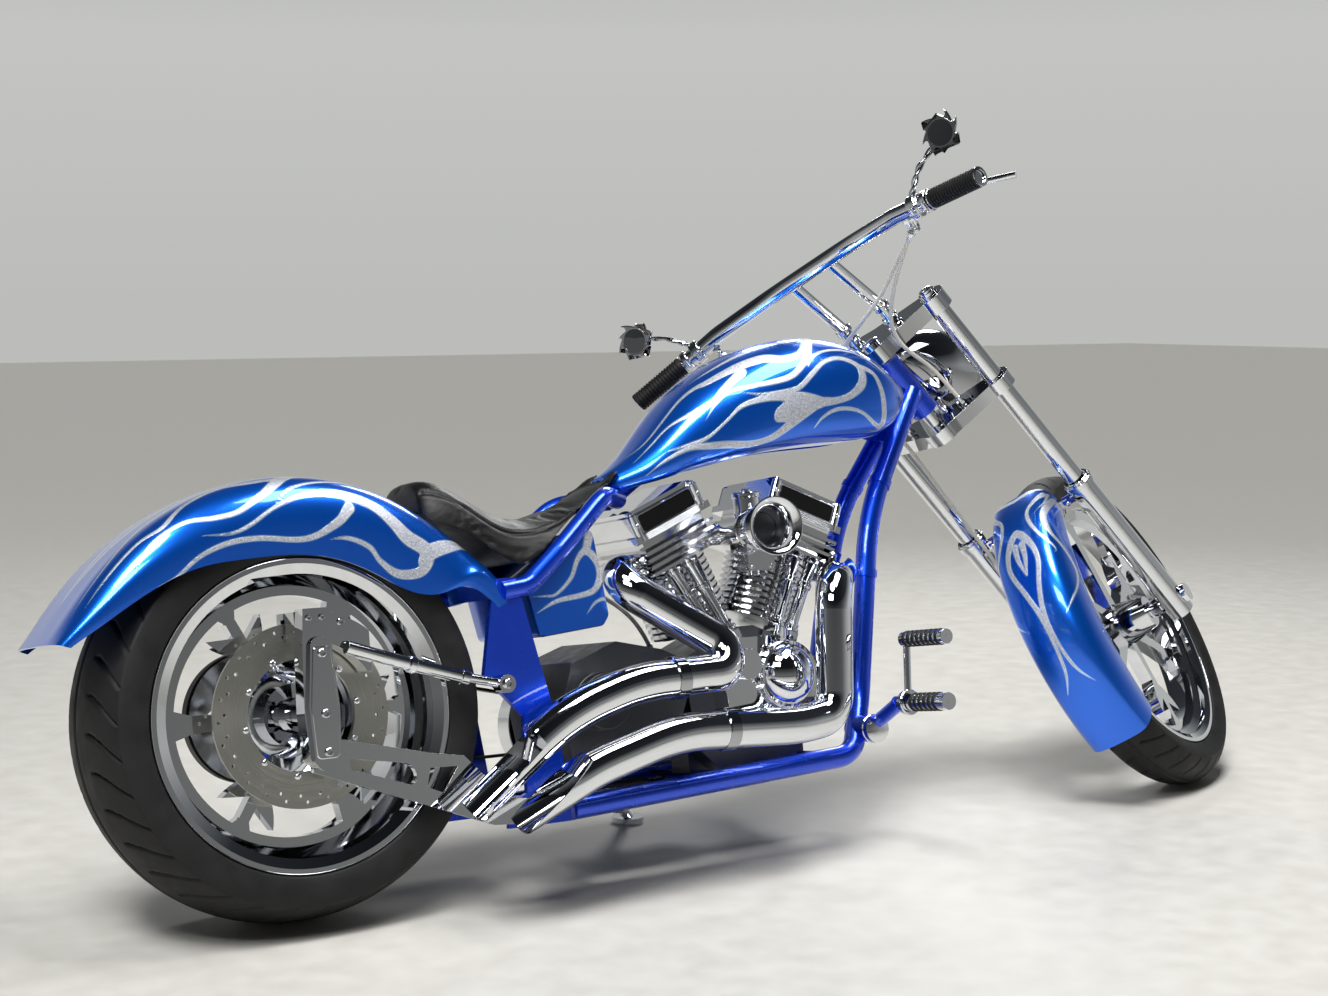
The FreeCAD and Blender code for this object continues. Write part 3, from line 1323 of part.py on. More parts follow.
def make_front_axle():
    x, y = size("fork_offset"), size("fork_y + slider_r")
    inner = size("fork_y - slider_r") - 0.5
    shaft = rod((x, -y - 4, 0), (x, y + 4, 0), "axle_r")
    heads = [rod((x, s * (y + 0.3), 0), (x, s * (y + 10), 0), "axle_r + 7") for s in (-1, 1)]
    spacers = [rod((x, -size("front_disc_y + 1.5"), 0), (x, -inner, 0), "axle_r + 5"),
               rod((x, size("front_disc_y - disc_thick/2 + 1.2"), 0), (x, inner, 0), "axle_r + 5")]
    return keep(fuse([shaft] + heads + spacers), "front_axle", "steering")


make_front_axle()


def make_front_caliper():
    """caliper behind the left fork leg, over the disc"""
    x, y = size("fork_offset"), size("front_disc_y")
    body = block((x - 156, y - 14, 70), (x - 86, y + 26, 118))
    mount = block((x - 100, y + 26 - 8, 80), (x - 8, y + 42, 104))
    across = size("disc_thick/2 + run_gap")
    slot = rod((x, y - across, 0), (x, y + across, 0), "disc_r + run_gap")
    leg = rod((x, size("fork_y"), -10), (x, size("fork_y"), 340), "slider_r + fit_gap")
    return keep(cut(fuse([body, mount]), [slot, leg]), "front_caliper", "steering")


make_front_caliper()


def make_bars():
    """handlebar with its risers"""
    z = bar_along
    points = [(-68, -295, z + 1), (-46, -215, z + 6), (-13, -90, z), (-13, 90, z), (-46, 215, z + 6),
              (-68, 295, z + 1)]
    bar = tube(points, [160, 260, 260, 160], "bar_r")
    ends = [rod((-68, s * 295, z + 1), (-113, s * 406, z), "bar_end_r") for s in (-1, 1)]
    base = size("top_tree_along + top_tree_thick") + 0.3
    risers = [tube([(52, s * 46, base), (52, s * 46, base + 40), (-13, s * 44, z)], [90], "riser_r")
              for s in (-1, 1)]
    return keep(fuse([bar] + ends + risers), "handlebar", "steering")


make_bars()


def make_grips():
    pieces = []
    z = bar_along
    for s in (-1, 1):
        a, b = Vector(-70, s * 300, z + 1), Vector(-113, s * 406, z)
        step = (b - a).normalize()
        outer = rod(tuple(a), tuple(a + step * size("grip_length")), "grip_r")
        bore = rod(tuple(a - step * 5), tuple(b + step * 1), "bar_end_r + fit_gap")
        pieces.append(cut(outer, [bore]))
    return keep(group(pieces), "grips", "steering")


make_grips()


def make_levers():
    """master cylinder perches and levers"""
    pieces = []
    z = bar_along
    for s in (-1, 1):
        perch = rod((-66, s * 262, z + 2), (-40, s * 262, z - 6), "15")
        perch_2 = rod((-30, s * 250, z - 10), (-36, s * 296, z - 14), "12")
        lever = tube([(-34, s * 285, z - 14), (-22, s * 345, z - 26), (-34, s * 439, z - 59)], [200], "6")
        clear = tube([(-68, s * 295, z + 1), (-46, s * 215, z + 6), (-13, s * 90, z)], [160],
                     "bar_r + fit_gap")
        grip_clear = rod((-50, s * 255, z + 1), (-125, s * 436, z), "grip_r + 4")
        pieces.append(cut(fuse([perch, perch_2, lever]), [clear, grip_clear]))
    return keep(group(pieces), "hand_levers", "steering")


make_levers()


def make_mirrors():
    """flame-edged mirrors on curved stems"""
    pieces = []
    z = bar_along
    for s in (-1, 1):
        stem_bar = tube([(-59, s * 262, z + size("bar_r")), (-50, s * 290, z + 45), (-14, s * 345, z + 66)],
                        [40], "6")
        head = primitive("Cylinder", Placement(Vector(-14, s * 372, z + 79),
                                               Rotation(Vector(0, 0, 1), Vector(-0.8, 0, 0.45))),
                         Radius="46", Height="8")
        clear = tube([(-68, s * 295, z + 1), (-46, s * 215, z + 6), (-13, s * 90, z)], [160],
                     "bar_r + fit_gap")
        pieces.append(cut(fuse([stem_bar, head]), [clear]))
    return keep(group(pieces), "mirrors", "steering")


make_mirrors()

# Parked placement


def tyre_drop(centre, axle, tyre_r, crown_r):
    """lowest point of a tyre whose axle points along axle"""
    side = abs(axle.z)
    return centre.z - ((tyre_r - crown_r) * math.sqrt(1 - side * side) + crown_r)


def parked(pitch):
    """lean and pitch of the parked machine, no offset yet"""
    lean = Rotation(Vector(1, 0, 0), -size("lean_angle"))
    return Placement(Vector(), lean * Rotation(Vector(0, 1, 0), pitch))


STEER = Placement(Vector(), Rotation(Vector(0, 0, 1), size("steer_angle")))


def drops(pitch):
    """heights of the two tyres' lowest points above the origin plane"""
    place = parked(pitch)
    rear = tyre_drop(place.multVec(REAR_AXLE), place.Rotation.multVec(Vector(0, 1, 0)), size("rear_tyre_r"),
                     size("rear_crown_r"))
    front_place = place * FORK * STEER
    front = tyre_drop(front_place.multVec(FRONT_HUB), front_place.Rotation.multVec(Vector(0, 1, 0)),
                      size("front_tyre_r"), size("front_crown_r"))
    return rear, front


def settle():
    """pitch that puts both tyres on the ground, and the height to lift by"""
    pitch = 0.0
    for step in range(12):
        rear, front = drops(pitch)
        pitch += math.degrees((front - rear) / size("wheel_base"))
    rear, front = drops(pitch)
    print("pitch", round(pitch, 3), "left between the tyres", round(front - rear, 4))
    place = parked(pitch)
    place.Base = Vector(0, 0, -rear)
    return place


park = settle()
ground_up = park.Rotation.inverted().multVec(Vector(0, 0, 1))
ground_at = park.inverse().multVec(Vector(0, 0, 0))


def ground_height(x, y):
    """height of the ground, in the frame of the machine, at a place on it"""
    return (ground_up.dot(ground_at) - ground_up.x * x - ground_up.y * y) / ground_up.z


stand_pivot = Vector(size("stand_x"), size("stand_y") + 34, size("stand_z") - 12)
foot_x, foot_y = stand_pivot.x + 90, stand_pivot.y + 116
stand_foot = Vector(foot_x, foot_y, ground_height(foot_x, foot_y))
stand_down = stand_foot + ground_up * 12 - stand_pivot
stand_folded = Vector(-0.98, 0.12, 0.10)
stand_axis = stand_down.cross(stand_folded).normalize()


def pivot_slab(low, high):
    """slab square to the stand's axis, between two heights along it"""
    frame = along(tuple(stand_pivot), tuple(stand_pivot + stand_axis))
    slab = primitive("Box", frame * Placement(Vector(-60, -60, low), Rotation()))
    slab.Length, slab.Width, slab.Height = 120, 120, high - low
    return slab


def make_stand_bracket():
    """lug under the left lower rail with the bolt that the stand turns on"""
    top, low = stand_pivot + stand_axis * 24, stand_pivot + stand_axis * (8 + size("fit_gap"))
    lug = rod(tuple(low), tuple(top), "17")
    arm = block((size("stand_x") - 16, size("cradle_y") - 6, low.z - 1),
                (size("stand_x") + 16, stand_pivot.y - 4, rail_height(size("stand_x")) - 8))
    bolt = rod(tuple(stand_pivot - stand_axis * 12), tuple(top), "6")
    under = pivot_slab(-52, 8 + size("fit_gap"))
    return fuse([cut(fuse([lug, arm]), [under]), bolt])


keep(fuse([cradle, make_stand_bracket()] + control_brackets), "frame_cradle", "chassis")


def make_side_stand():
    """bent leg with a flat foot lying on the ground of the leaning machine"""
    knee = stand_pivot + stand_down * 0.55 + ground_up * 6
    leg = tube([tuple(stand_pivot), tuple(knee), tuple(stand_pivot + stand_down)], [120], "stand_r")
    knuckle = rod(tuple(stand_pivot - stand_axis * 8), tuple(stand_pivot + stand_axis * 8), "17")
    bore = rod(tuple(stand_pivot - stand_axis * 20), tuple(stand_pivot + stand_axis * 20), "6 + fit_gap")
    above = pivot_slab(8, 48)
    foot = doc.addObject("Part::Cylinder", "Foot")
    foot.Radius, foot.Height = 30, 12
    foot.Placement = Placement(stand_foot, Rotation(Vector(0, 0, 1), ground_up))
    return keep(cut(fuse([leg, knuckle, foot]), [bore, above]), "side_stand", "side_stand")


make_side_stand()

# Hoses and cables, drawn in the fork's frame

brake_route = [(-44, -236, 1004), (-24, -170, 975), (-6, -110, 930), (-2, -40, 900), (-2, 36, 878),
               (-6, 80, 846), (-9, 72, 806), (0, 76, 740), (-8, 74, 655), (2, 78, 596), (20, 92, 500),
               (28, 98, 400), (22, 100, 300), (2, 98, 225), (-42, 92, 172), (-46, 90, 118.7)]
throttle_route = [(-58, -226, 1008), (-34, -160, 960), (-20, -96, 905), (-16, -55, 852), (-16, -55, 796),
                  (24, -58, 740), (24, -62, 690),
                  (24, -62, size("low_tree_along + low_tree_thick + fit_gap"))]
clutch_route = [(-66, 230, 1010), (-36, 165, 965), (-18, 96, 905)] + mirrored(throttle_route[3:])
keep(hose(brake_route), "brake_hose", "steering")
keep(group([hose(throttle_route), hose(clutch_route)]), "control_cables", "steering")

# Checks, placement and files

STEERED = ("steering", "front_wheel")
doc.recompute()
for ride, labels in bodies.items():
    for label in labels:
        piece = sub_parts[label]
        place = park * FORK * STEER if ride in STEERED else park
        piece.Placement = place * piece.Placement
doc.recompute()


def check_document():
    failed = [item for item in doc.Objects if "Invalid" in item.State or "Error" in item.State]
    if failed:
        raise RuntimeError("failed: %s" % [(item.Label, [o.Label for o in item.InList]) for item in failed])
    for label, piece in sub_parts.items():
        if piece.Shape.isNull() or not piece.Shape.isValid() or not piece.Shape.Solids:
            raise RuntimeError("%s has no valid solid" % label)


check_document()
whole = FreeCAD.BoundBox()
for piece in sub_parts.values():
    whole.add(piece.Shape.optimalBoundingBox(False, False))
shift = Placement(Vector(-whole.Center.x, -whole.Center.y, 0), Rotation())
for piece in sub_parts.values():
    piece.Placement = shift * piece.Placement
doc.recompute()
check_document()
print("box", [round(v, 1) for v in (whole.XLength, whole.YLength, whole.ZLength)], "base",
      round(whole.ZMin, 2))

os.makedirs("parts", exist_ok=True)
for label, piece in sub_parts.items():
    piece.Shape.exportStep("parts/%s.step" % label)
print(len(sub_parts), "sub-parts")
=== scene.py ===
import json
import math

import bmesh
import bpy
import numpy as np
from mathutils import Matrix, Vector

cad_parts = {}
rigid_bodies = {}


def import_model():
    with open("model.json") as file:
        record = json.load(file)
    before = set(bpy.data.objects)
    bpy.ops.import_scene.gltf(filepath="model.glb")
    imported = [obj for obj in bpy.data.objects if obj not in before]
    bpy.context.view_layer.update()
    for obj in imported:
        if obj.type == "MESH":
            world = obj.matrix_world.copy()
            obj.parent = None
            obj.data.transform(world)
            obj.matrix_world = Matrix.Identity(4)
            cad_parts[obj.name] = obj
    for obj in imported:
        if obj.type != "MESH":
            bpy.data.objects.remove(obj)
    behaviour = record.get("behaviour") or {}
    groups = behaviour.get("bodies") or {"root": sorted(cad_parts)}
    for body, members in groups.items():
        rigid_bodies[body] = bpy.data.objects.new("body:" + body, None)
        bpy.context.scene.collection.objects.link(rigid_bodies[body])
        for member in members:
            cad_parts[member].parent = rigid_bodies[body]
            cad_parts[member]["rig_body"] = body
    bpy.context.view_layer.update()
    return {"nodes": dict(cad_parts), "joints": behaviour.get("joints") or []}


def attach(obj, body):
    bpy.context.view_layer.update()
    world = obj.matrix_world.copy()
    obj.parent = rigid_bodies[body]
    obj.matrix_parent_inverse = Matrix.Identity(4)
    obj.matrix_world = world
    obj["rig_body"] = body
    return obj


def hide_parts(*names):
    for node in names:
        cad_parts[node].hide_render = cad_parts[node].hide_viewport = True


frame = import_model()
joints = {joint["name"]: joint for joint in frame["joints"]}
print("frame loaded")

# Every piece is drawn in millimetres in the frame of its own carrier. The machine's frame has
# X forward, Y to the left, Z up and its origin on the ground under the rear axle. The fork's
# frame has its origin on the steering axis, X ahead, Y to the left and Z up along the fork.
stand = {
    "leanDegrees": 10.4, "pitchDegrees": 0.773, "rearAxleUp": 328.0, "frontAxleUp": 350.0,
    "wheelBase": 1874.5, "rakeDegrees": 42.0, "forkOffset": 66.0, "steerDegrees": 34.3,
}
mm = 0.001  # one millimetre in the metres of the row's frame


# turn by an angle in degrees about one axis, as a 4 by 4 array
def turned(degrees, axis):
    return np.array(Matrix.Rotation(math.radians(degrees), 4, axis))


# shift by a vector, as a 4 by 4 array
def shifted(x, y, z):
    return np.array(Matrix.Translation((x, y, z)))


# frame whose Z axis runs along a direction and whose origin is a given point
def axisPlace(origin, direction):
    turn = Vector(direction).to_track_quat("Z", "Y").to_matrix().to_4x4()
    return np.array(Matrix.Translation(Vector(origin)) @ turn)


# machine to row: millimetres to metres, pitch, then lean, then the shift that puts the rear
# axle where its joint is
def machinePlace():
    turn = turned(-stand["leanDegrees"], "X") @ turned(stand["pitchDegrees"], "Y") @ np.diag([mm, mm, mm, 1])
    axle = turn @ np.array([0, 0, stand["rearAxleUp"], 1])
    return shifted(*(np.array(joints["rear_wheel_spin"]["pos_m"]) - axle[:3])) @ turn


# fork to row: the steering turn about the fork's Z axis, the rake, then the machine's own place
def forkPlace():
    rake = math.radians(stand["rakeDegrees"])
    foot = [stand["wheelBase"] - stand["forkOffset"] * math.cos(rake), 0,
            stand["frontAxleUp"] - stand["forkOffset"] * math.sin(rake)]
    return machine @ shifted(*foot) @ turned(-stand["rakeDegrees"], "Y") @ turned(stand["steerDegrees"], "Z")


machine = machinePlace()
fork = forkPlace()
rearWheel = machine @ shifted(0, 0, stand["rearAxleUp"])
frontWheel = fork @ shifted(stand["forkOffset"], 0, 0)


# Camera: found by matching rims, disc, fork and handlebar with the photograph
cameraValues = {
    "place": (-2.1378, -3.2191, 0.9977), "headingDegrees": 58.314, "pitchDegrees": -5.432,
    "rollDegrees": 0.105, "focalPixels": 2113.5, "imageWide": 1328, "sensorMm": 36.0,
}


# camera axes from heading and pitch, then the roll about the line of sight
def addCamera():
    v = cameraValues
    heading, pitch = math.radians(v["headingDegrees"]), math.radians(v["pitchDegrees"])
    sight = Vector((math.cos(pitch) * math.cos(heading), math.cos(pitch) * math.sin(heading),
                    math.sin(pitch)))
    turn = sight.to_track_quat("-Z",
                               "Y").to_matrix().to_4x4() @ Matrix.Rotation(-math.radians(v["rollDegrees"]),
                                                                           4, "Z")
    camera = bpy.data.objects.new("camera", bpy.data.cameras.new("camera"))
    camera.matrix_world = Matrix.Translation(v["place"]) @ turn
    camera.data.sensor_width = v["sensorMm"]
    camera.data.lens = v["focalPixels"] / v["imageWide"] * v["sensorMm"]
    camera.data.clip_end = 100
    bpy.context.scene.collection.objects.link(camera)
    bpy.context.scene.camera = camera
    bpy.context.scene.view_settings.view_transform = "Standard"


addCamera()
print("camera")


# Colour and shader nodes

# sRGB hex code to the linear colour that Blender's sockets take
def linear(code, alpha=1.0):
    parts = [int(code[i:i + 2], 16) / 255 for i in (0, 2, 4)]
    return tuple(p / 12.92 if p <= 0.04045 else ((p + 0.055) / 1.055) ** 2.4 for p in parts) + (alpha,)


# one shader node with its settings; inputs hold constants or (node, output) pairs to link, stops are
# a ramp's positions and colours, and to names the output, the next node and its socket
def addNode(tree, kind, inputs=None, stops=(), to=None, **settings):
    node = tree.nodes.new(kind)
    for name, value in settings.items():
        setattr(node, name, value)
    for name, value in (inputs or {}).items():
        if isinstance(value, tuple) and len(value) == 2 and hasattr(value[0], "outputs"):
            tree.links.new(value[0].outputs[value[1]], node.inputs[name])
        else:
            node.inputs[name].default_value = value
    while stops and len(node.color_ramp.elements) < len(stops):
        node.color_ramp.elements.new(0.5)
    for index, (position, colour) in enumerate(stops):
        node.color_ramp.elements[index].position = position
        node.color_ramp.elements[index].color = linear(colour)
    if to:
        output, end, socket = to
        tree.links.new(node.outputs[output], end.inputs[socket])
    return node


# material with one Principled shader; sockets hold constants or links
def newMaterial(name, sockets):
    material = bpy.data.materials.new(name)
    material.use_nodes = True
    tree = material.node_tree
    shader = tree.nodes["Principled BSDF"]
    for socket, value in sockets.items():
        shader.inputs[socket].default_value = value
    return material, tree, shader


# place on the piece, scaled so that a pattern repeats every given number of millimetres
def patternPlace(tree, millimetres):
    spot = addNode(tree, "ShaderNodeTexCoord")
    scale = 1 / (millimetres * mm)
    return addNode(tree, "ShaderNodeMapping", {"Vector": (spot, "Object"), "Scale": (scale, scale, scale)})


# roughness between two values by a soft noise of a given size
def smudge(tree, shader, millimetres, low, high):
    noise = addNode(tree, "ShaderNodeTexNoise", {"Vector": (patternPlace(tree, millimetres), "Vector"),
                                                 "Scale": 1.0, "Detail": 4.0})
    addNode(tree, "ShaderNodeMapRange", {"Value": (noise, "Fac"), "From Min": 0.3, "From Max": 0.7,
                                         "To Min": low, "To Max": high}, to=("Result", shader, "Roughness"))
    return noise


# bright metal with a soft unevenness in its gloss
def brightMetal(name, colour, low, high, millimetres=60):
    material, tree, shader = newMaterial(name, {"Base Color": linear(colour), "Metallic": 1.0})
    smudge(tree, shader, millimetres, low, high)
    return material


# cast alloy: fine grain in its relief and a patchy gloss
def castMetal(name, colour, low, high, grainMm):
    material, tree, shader = newMaterial(name, {"Base Color": linear(colour), "Metallic": 1.0})
    smudge(tree, shader, 25, low, high)
    grain = addNode(tree, "ShaderNodeTexNoise", {"Vector": (patternPlace(tree, grainMm), "Vector"),
                                                 "Scale": 1.0, "Detail": 3.0})
    addNode(tree, "ShaderNodeBump", {"Height": (grain, "Fac"), "Distance": 0.06 * mm},
            to=("Normal", shader, "Normal"))
    return material


# candy paint without flames: coloured metal base under a clear coat
def candyFrame(name, colour):
    material, tree, shader = newMaterial(name, {"Base Color": linear(colour), "Metallic": 0.75,
                                                "Coat Weight": 1.0, "Coat Roughness": 0.03})
    smudge(tree, shader, 90, 0.24, 0.32)
    return material


# candy paint with flames: the piece's attribute flameMm is the distance to the flame's edge,
# negative inside; the edge line takes the first millimetres, and the inside is metal flake
def candyFlames(name, base, flake, edge, edgeMm):
    material, tree, shader = newMaterial(name, {"Metallic": 0.8, "Coat Weight": 1.0, "Coat Roughness": 0.02})
    distance = addNode(tree, "ShaderNodeAttribute", attribute_name="flameMm")
    inside = addNode(tree, "ShaderNodeMapRange", {"Value": (distance, "Fac"), "From Min": -edgeMm - 0.3,
                                                  "From Max": -edgeMm, "To Min": 1.0, "To Max": 0.0})
    line = addNode(tree, "ShaderNodeMapRange", {"Value": (distance, "Fac"), "From Min": -0.15,
                                                "From Max": 0.15, "To Min": 1.0, "To Max": 0.0})
    cells = addNode(tree, "ShaderNodeTexVoronoi", {"Vector": (patternPlace(tree, 1.3), "Vector"),
                                                   "Scale": 1.0})
    sparkle = addNode(tree, "ShaderNodeValToRGB", {"Fac": (cells, "Color")},
                      list(zip((0.1, 0.75, 0.95), flake)))
    blue = addNode(tree, "ShaderNodeMix", {"Factor": (line, "Result"), "A": linear(base),
                                           "B": linear(edge)}, data_type="RGBA")
    addNode(tree, "ShaderNodeMix", {"Factor": (inside, "Result"), "A": (blue, "Result"),
                                    "B": (sparkle, "Color")}, to=("Result", shader, "Base Color"),
            data_type="RGBA")
    addNode(tree, "ShaderNodeMapRange", {"Value": (inside, "Result"), "To Min": 0.26, "To Max": 0.5},
            to=("Result", shader, "Roughness"))
    facets = addNode(tree, "ShaderNodeMath", {0: (cells, "Distance"), 1: (inside, "Result")},
                     operation="MULTIPLY")
    addNode(tree, "ShaderNodeBump", {"Height": (facets, "Value"), "Distance": 0.25 * mm},
            to=("Normal", shader, "Normal"))
    return material


# rubber: dark, dull, with fine pits and a dusty unevenness
def rubberSkin(name, colour, dust, low, high, pitMm):
    material, tree, shader = newMaterial(name, {"Specular IOR Level": 0.35})
    noise = smudge(tree, shader, 35, low, high)
    addNode(tree, "ShaderNodeValToRGB", {"Fac": (noise, "Fac")}, [(0.35, colour), (0.75, dust)],
            ("Color", shader, "Base Color"))
    pits = addNode(tree, "ShaderNodeTexNoise", {"Vector": (patternPlace(tree, pitMm), "Vector"),
                                                "Scale": 1.0, "Detail": 2.0})
    addNode(tree, "ShaderNodeBump", {"Height": (pits, "Fac"), "Distance": 0.12 * mm},
            to=("Normal", shader, "Normal"))
    return material


# leather: cells for the grain, a wide noise for creases and worn gloss
def leatherSkin(name, colour, worn, grainMm):
    material, tree, shader = newMaterial(name, {"Specular IOR Level": 0.35})
    noise = smudge(tree, shader, 45, 0.3, 0.44)
    addNode(tree, "ShaderNodeValToRGB", {"Fac": (noise, "Fac")}, [(0.3, colour), (0.8, worn)],
            ("Color", shader, "Base Color"))
    cells = addNode(tree, "ShaderNodeTexVoronoi", {"Vector": (patternPlace(tree, grainMm), "Vector"),
                                                   "Scale": 1.0}, feature="DISTANCE_TO_EDGE")
    edges = addNode(tree, "ShaderNodeMapRange", {"Value": (cells, "Distance"), "From Min": 0.0,
                                                 "From Max": 0.18})
    addNode(tree, "ShaderNodeBump", {"Height": (edges, "Result"), "Distance": 0.1 * mm, "Strength": 0.6},
            to=("Normal", shader, "Normal"))
    return material


# ground steel: rings about the disc's axle, read from the piece's attribute ringMm
def groundSteel(name, colour):
    material, tree, shader = newMaterial(name, {"Base Color": linear(colour), "Metallic": 1.0,
                                                "Anisotropic": 0.5})
    radius = addNode(tree, "ShaderNodeAttribute", attribute_name="ringMm")
    rings = addNode(tree, "ShaderNodeTexNoise", {"W": (radius, "Fac"), "Scale": 2.2, "Detail": 3.0},
                    noise_dimensions="1D")
    addNode(tree, "ShaderNodeMapRange", {"Value": (rings, "Fac"), "To Min": 0.2, "To Max": 0.42},
            to=("Result", shader, "Roughness"))
    addNode(tree, "ShaderNodeBump", {"Height": (rings, "Fac"), "Distance": 0.08 * mm},
            to=("Normal", shader, "Normal"))
    return material


# clear or black glossy moulding with a faint smear
def glossSkin(name, colour, low, high):
    material, tree, shader = newMaterial(name, {"Base Color": linear(colour)})
    smudge(tree, shader, 40, low, high)
    return material


# lens glass: clear, with vertical flutes of a given pitch in its relief
def lensGlass(name, fluteMm):
    material, tree, shader = newMaterial(name, {"Transmission Weight": 1.0, "IOR": 1.5, "Roughness": 0.03})
    flutes = addNode(tree, "ShaderNodeTexWave", {"Vector": (patternPlace(tree, fluteMm), "Vector"),
                                                 "Scale": 1.0})
    addNode(tree, "ShaderNodeBump", {"Height": (flutes, "Fac"), "Distance": 0.3 * mm},
            to=("Normal", shader, "Normal"))
    return material


chrome = brightMetal("chrome_plate", "e4e6ea", 0.02, 0.06)  # shows the room almost as a mirror
darkChrome = brightMetal("smoked_chrome", "a9abb0", 0.04, 0.1)  # a shade darker, so that trim stands off
polishedAlloy = brightMetal("polished_alloy", "dcdde0", 0.08, 0.16, 30)  # bright with soft hand marks
# cast metal whose dark base colour is painted shade, for the castings low in the engine where shade falls
castPaintedShade = castMetal("cast_painted_shade", "55565a", 0.3, 0.45, 1.6)  # grainy and dull, so that edges catch light
frameBlue = candyFrame("frame_blue", "0a46dc")  # deep blue with sharp lights in its coat
# blue under glass, with flames that glitter and a pale line round them
candyBlue = candyFlames("candy_flames", "0868e8", ("9ea3b4", "e6e9f2", "ffffff"), "b9d8ff", 1.6)
tyreRubber = rubberSkin("tyre_rubber", "101011", "1d1d1e", 0.55, 0.75, 1.2)  # dull black, a little dusty
gripRubber = rubberSkin("grip_rubber", "0c0c0d", "171718", 0.45, 0.6, 0.8)  # smoother, with a low gleam
seatLeather = leatherSkin("seat_leather", "060607", "0d0d0e", 1.4)  # fine grain and worn, glossier spots
discSteel = groundSteel("disc_steel", "c3c2bb")  # rings that stretch the light into a fan
blackGloss = glossSkin("black_gloss", "050506", 0.04, 0.1)  # black in which the lamps show
hoseWhite = glossSkin("white_hose", "d9d6c9", 0.3, 0.45)  # cream moulding, soft lights
mirrorGlass = brightMetal("mirror_glass", "6c7076", 0.0, 0.015, 200)  # dark mirror without grain
headLens = lensGlass("head_lens", 8)  # clear, and its flutes break the bowl into strips
threadDark = rubberSkin("waxed_thread", "232325", "2f2f31", 0.5, 0.6, 0.5)  # grey against the leather
print("materials")


# Floor and light

stageValues = {
    "floorSize": 60.0, "floorPatch": "bdbbb4", "floorColour": "c6c4be", "worldStrength": 1.0,
    "behindStrength": 0.25, "sight": (0.525, 0.851, 0), "behindFrom": -0.7, "behindTo": 0.3,
    "walls": [(0.0, "bcbdba"), (0.12, "c4c5c2"), (0.3, "8a8d8e"), (0.5, "34373b"), (1.0, "1a1b1f")],
}


# floor plane with fine speckle and faint patches
def addFloor():
    mesh = bpy.data.meshes.new("floor")
    half = stageValues["floorSize"] / 2
    mesh.from_pydata([(-half, -half, 0), (half, -half, 0), (half, half, 0), (-half, half, 0)], [],
                     [(0, 1, 2, 3)])
    floor = bpy.data.objects.new("floor", mesh)
    bpy.context.scene.collection.objects.link(floor)
    material, tree, shader = newMaterial("floor_stone", {"Specular IOR Level": 0.4})
    noise = smudge(tree, shader, 60, 0.4, 0.55)
    addNode(tree, "ShaderNodeValToRGB", {"Fac": (noise, "Fac")}, [(0.3, stageValues["floorPatch"]),
                                                                  (0.7, stageValues["floorColour"])],
            ("Color", shader, "Base Color"))
    mesh.materials.append(material)


# world: bright walls, a dark ceiling, and a dimmer room behind the camera for the metal to show; a
# direction lies behind as far as its product with the camera's sight is negative
def addWorld():
    v = stageValues
    world = bpy.data.worlds.new("studio")
    bpy.context.scene.world = world
    world.use_nodes = True
    tree = world.node_tree
    spot = addNode(tree, "ShaderNodeTexCoord")
    parts = addNode(tree, "ShaderNodeSeparateXYZ", {"Vector": (spot, "Generated")})
    background = tree.nodes["Background"]
    addNode(tree, "ShaderNodeValToRGB", {"Fac": (parts, "Z")}, v["walls"], ("Color", background, "Color"))
    ahead = addNode(tree, "ShaderNodeVectorMath", {0: (spot, "Generated"), 1: v["sight"]},
                    operation="DOT_PRODUCT")
    addNode(tree, "ShaderNodeMapRange", {"Value": (ahead, "Value"), "From Min": v["behindFrom"],
                                         "From Max": v["behindTo"], "To Min": v["behindStrength"],
                                         "To Max": v["worldStrength"]}, to=("Result", background, "Strength"))


# one soft box: place, point that it faces, size and power
def addSoftBox(name, place, facing, wide, high, watts):
    lamp = bpy.data.lights.new(name, "AREA")
    lamp.shape = "RECTANGLE"
    lamp.size, lamp.size_y, lamp.energy = wide, high, watts
    box = bpy.data.objects.new(name, lamp)
    sight = Vector(facing) - Vector(place)
    box.matrix_world = Matrix.Translation(place) @ sight.to_track_quat("-Z", "Y").to_matrix().to_4x4()
    bpy.context.scene.collection.objects.link(box)


# soft sun that keeps the far floor light: it shines down from a direction, with a wide angle
def addSun(name, source, degrees, strength):
    lamp = bpy.data.lights.new(name, "SUN")
    lamp.angle, lamp.energy = math.radians(degrees), strength
    sun = bpy.data.objects.new(name, lamp)
    sun.matrix_world = (-Vector(source)).to_track_quat("-Z", "Y").to_matrix().to_4x4()
    bpy.context.scene.collection.objects.link(sun)


addFloor()
addWorld()
addSoftBox("light_left", (-2.4, -1.8, 3.0), (-0.2, 0, 0.4), 1.6, 0.9, 60)
addSoftBox("light_over", (0.6, -0.6, 3.4), (0.2, 0, 0.4), 2.2, 1.0, 70)
addSoftBox("light_far", (2.2, 2.6, 2.6), (0.2, 0, 0.5), 1.6, 0.8, 45)
addSun("light_floor", (-0.35, -0.25, 1.0), 20, 2.4)
print("floor and lights")


# Meshes from arrays

# quads of a grid of points, row by row, closed round either way where asked
def gridFaces(rows, columns, wrapRows=False, wrapColumns=False):
    i = np.arange(rows if wrapRows else rows - 1)[:, None]
    j = np.arange(columns if wrapColumns else columns - 1)[None, :]
    i2, j2 = (i + 1) % rows, (j + 1) % columns
    quads = np.stack(np.broadcast_arrays(i * columns + j, i2 * columns + j, i2 * columns + j2, i * columns
                                         + j2), -1)
    return [tuple(q) for q in quads.reshape(-1, 4).tolist()]


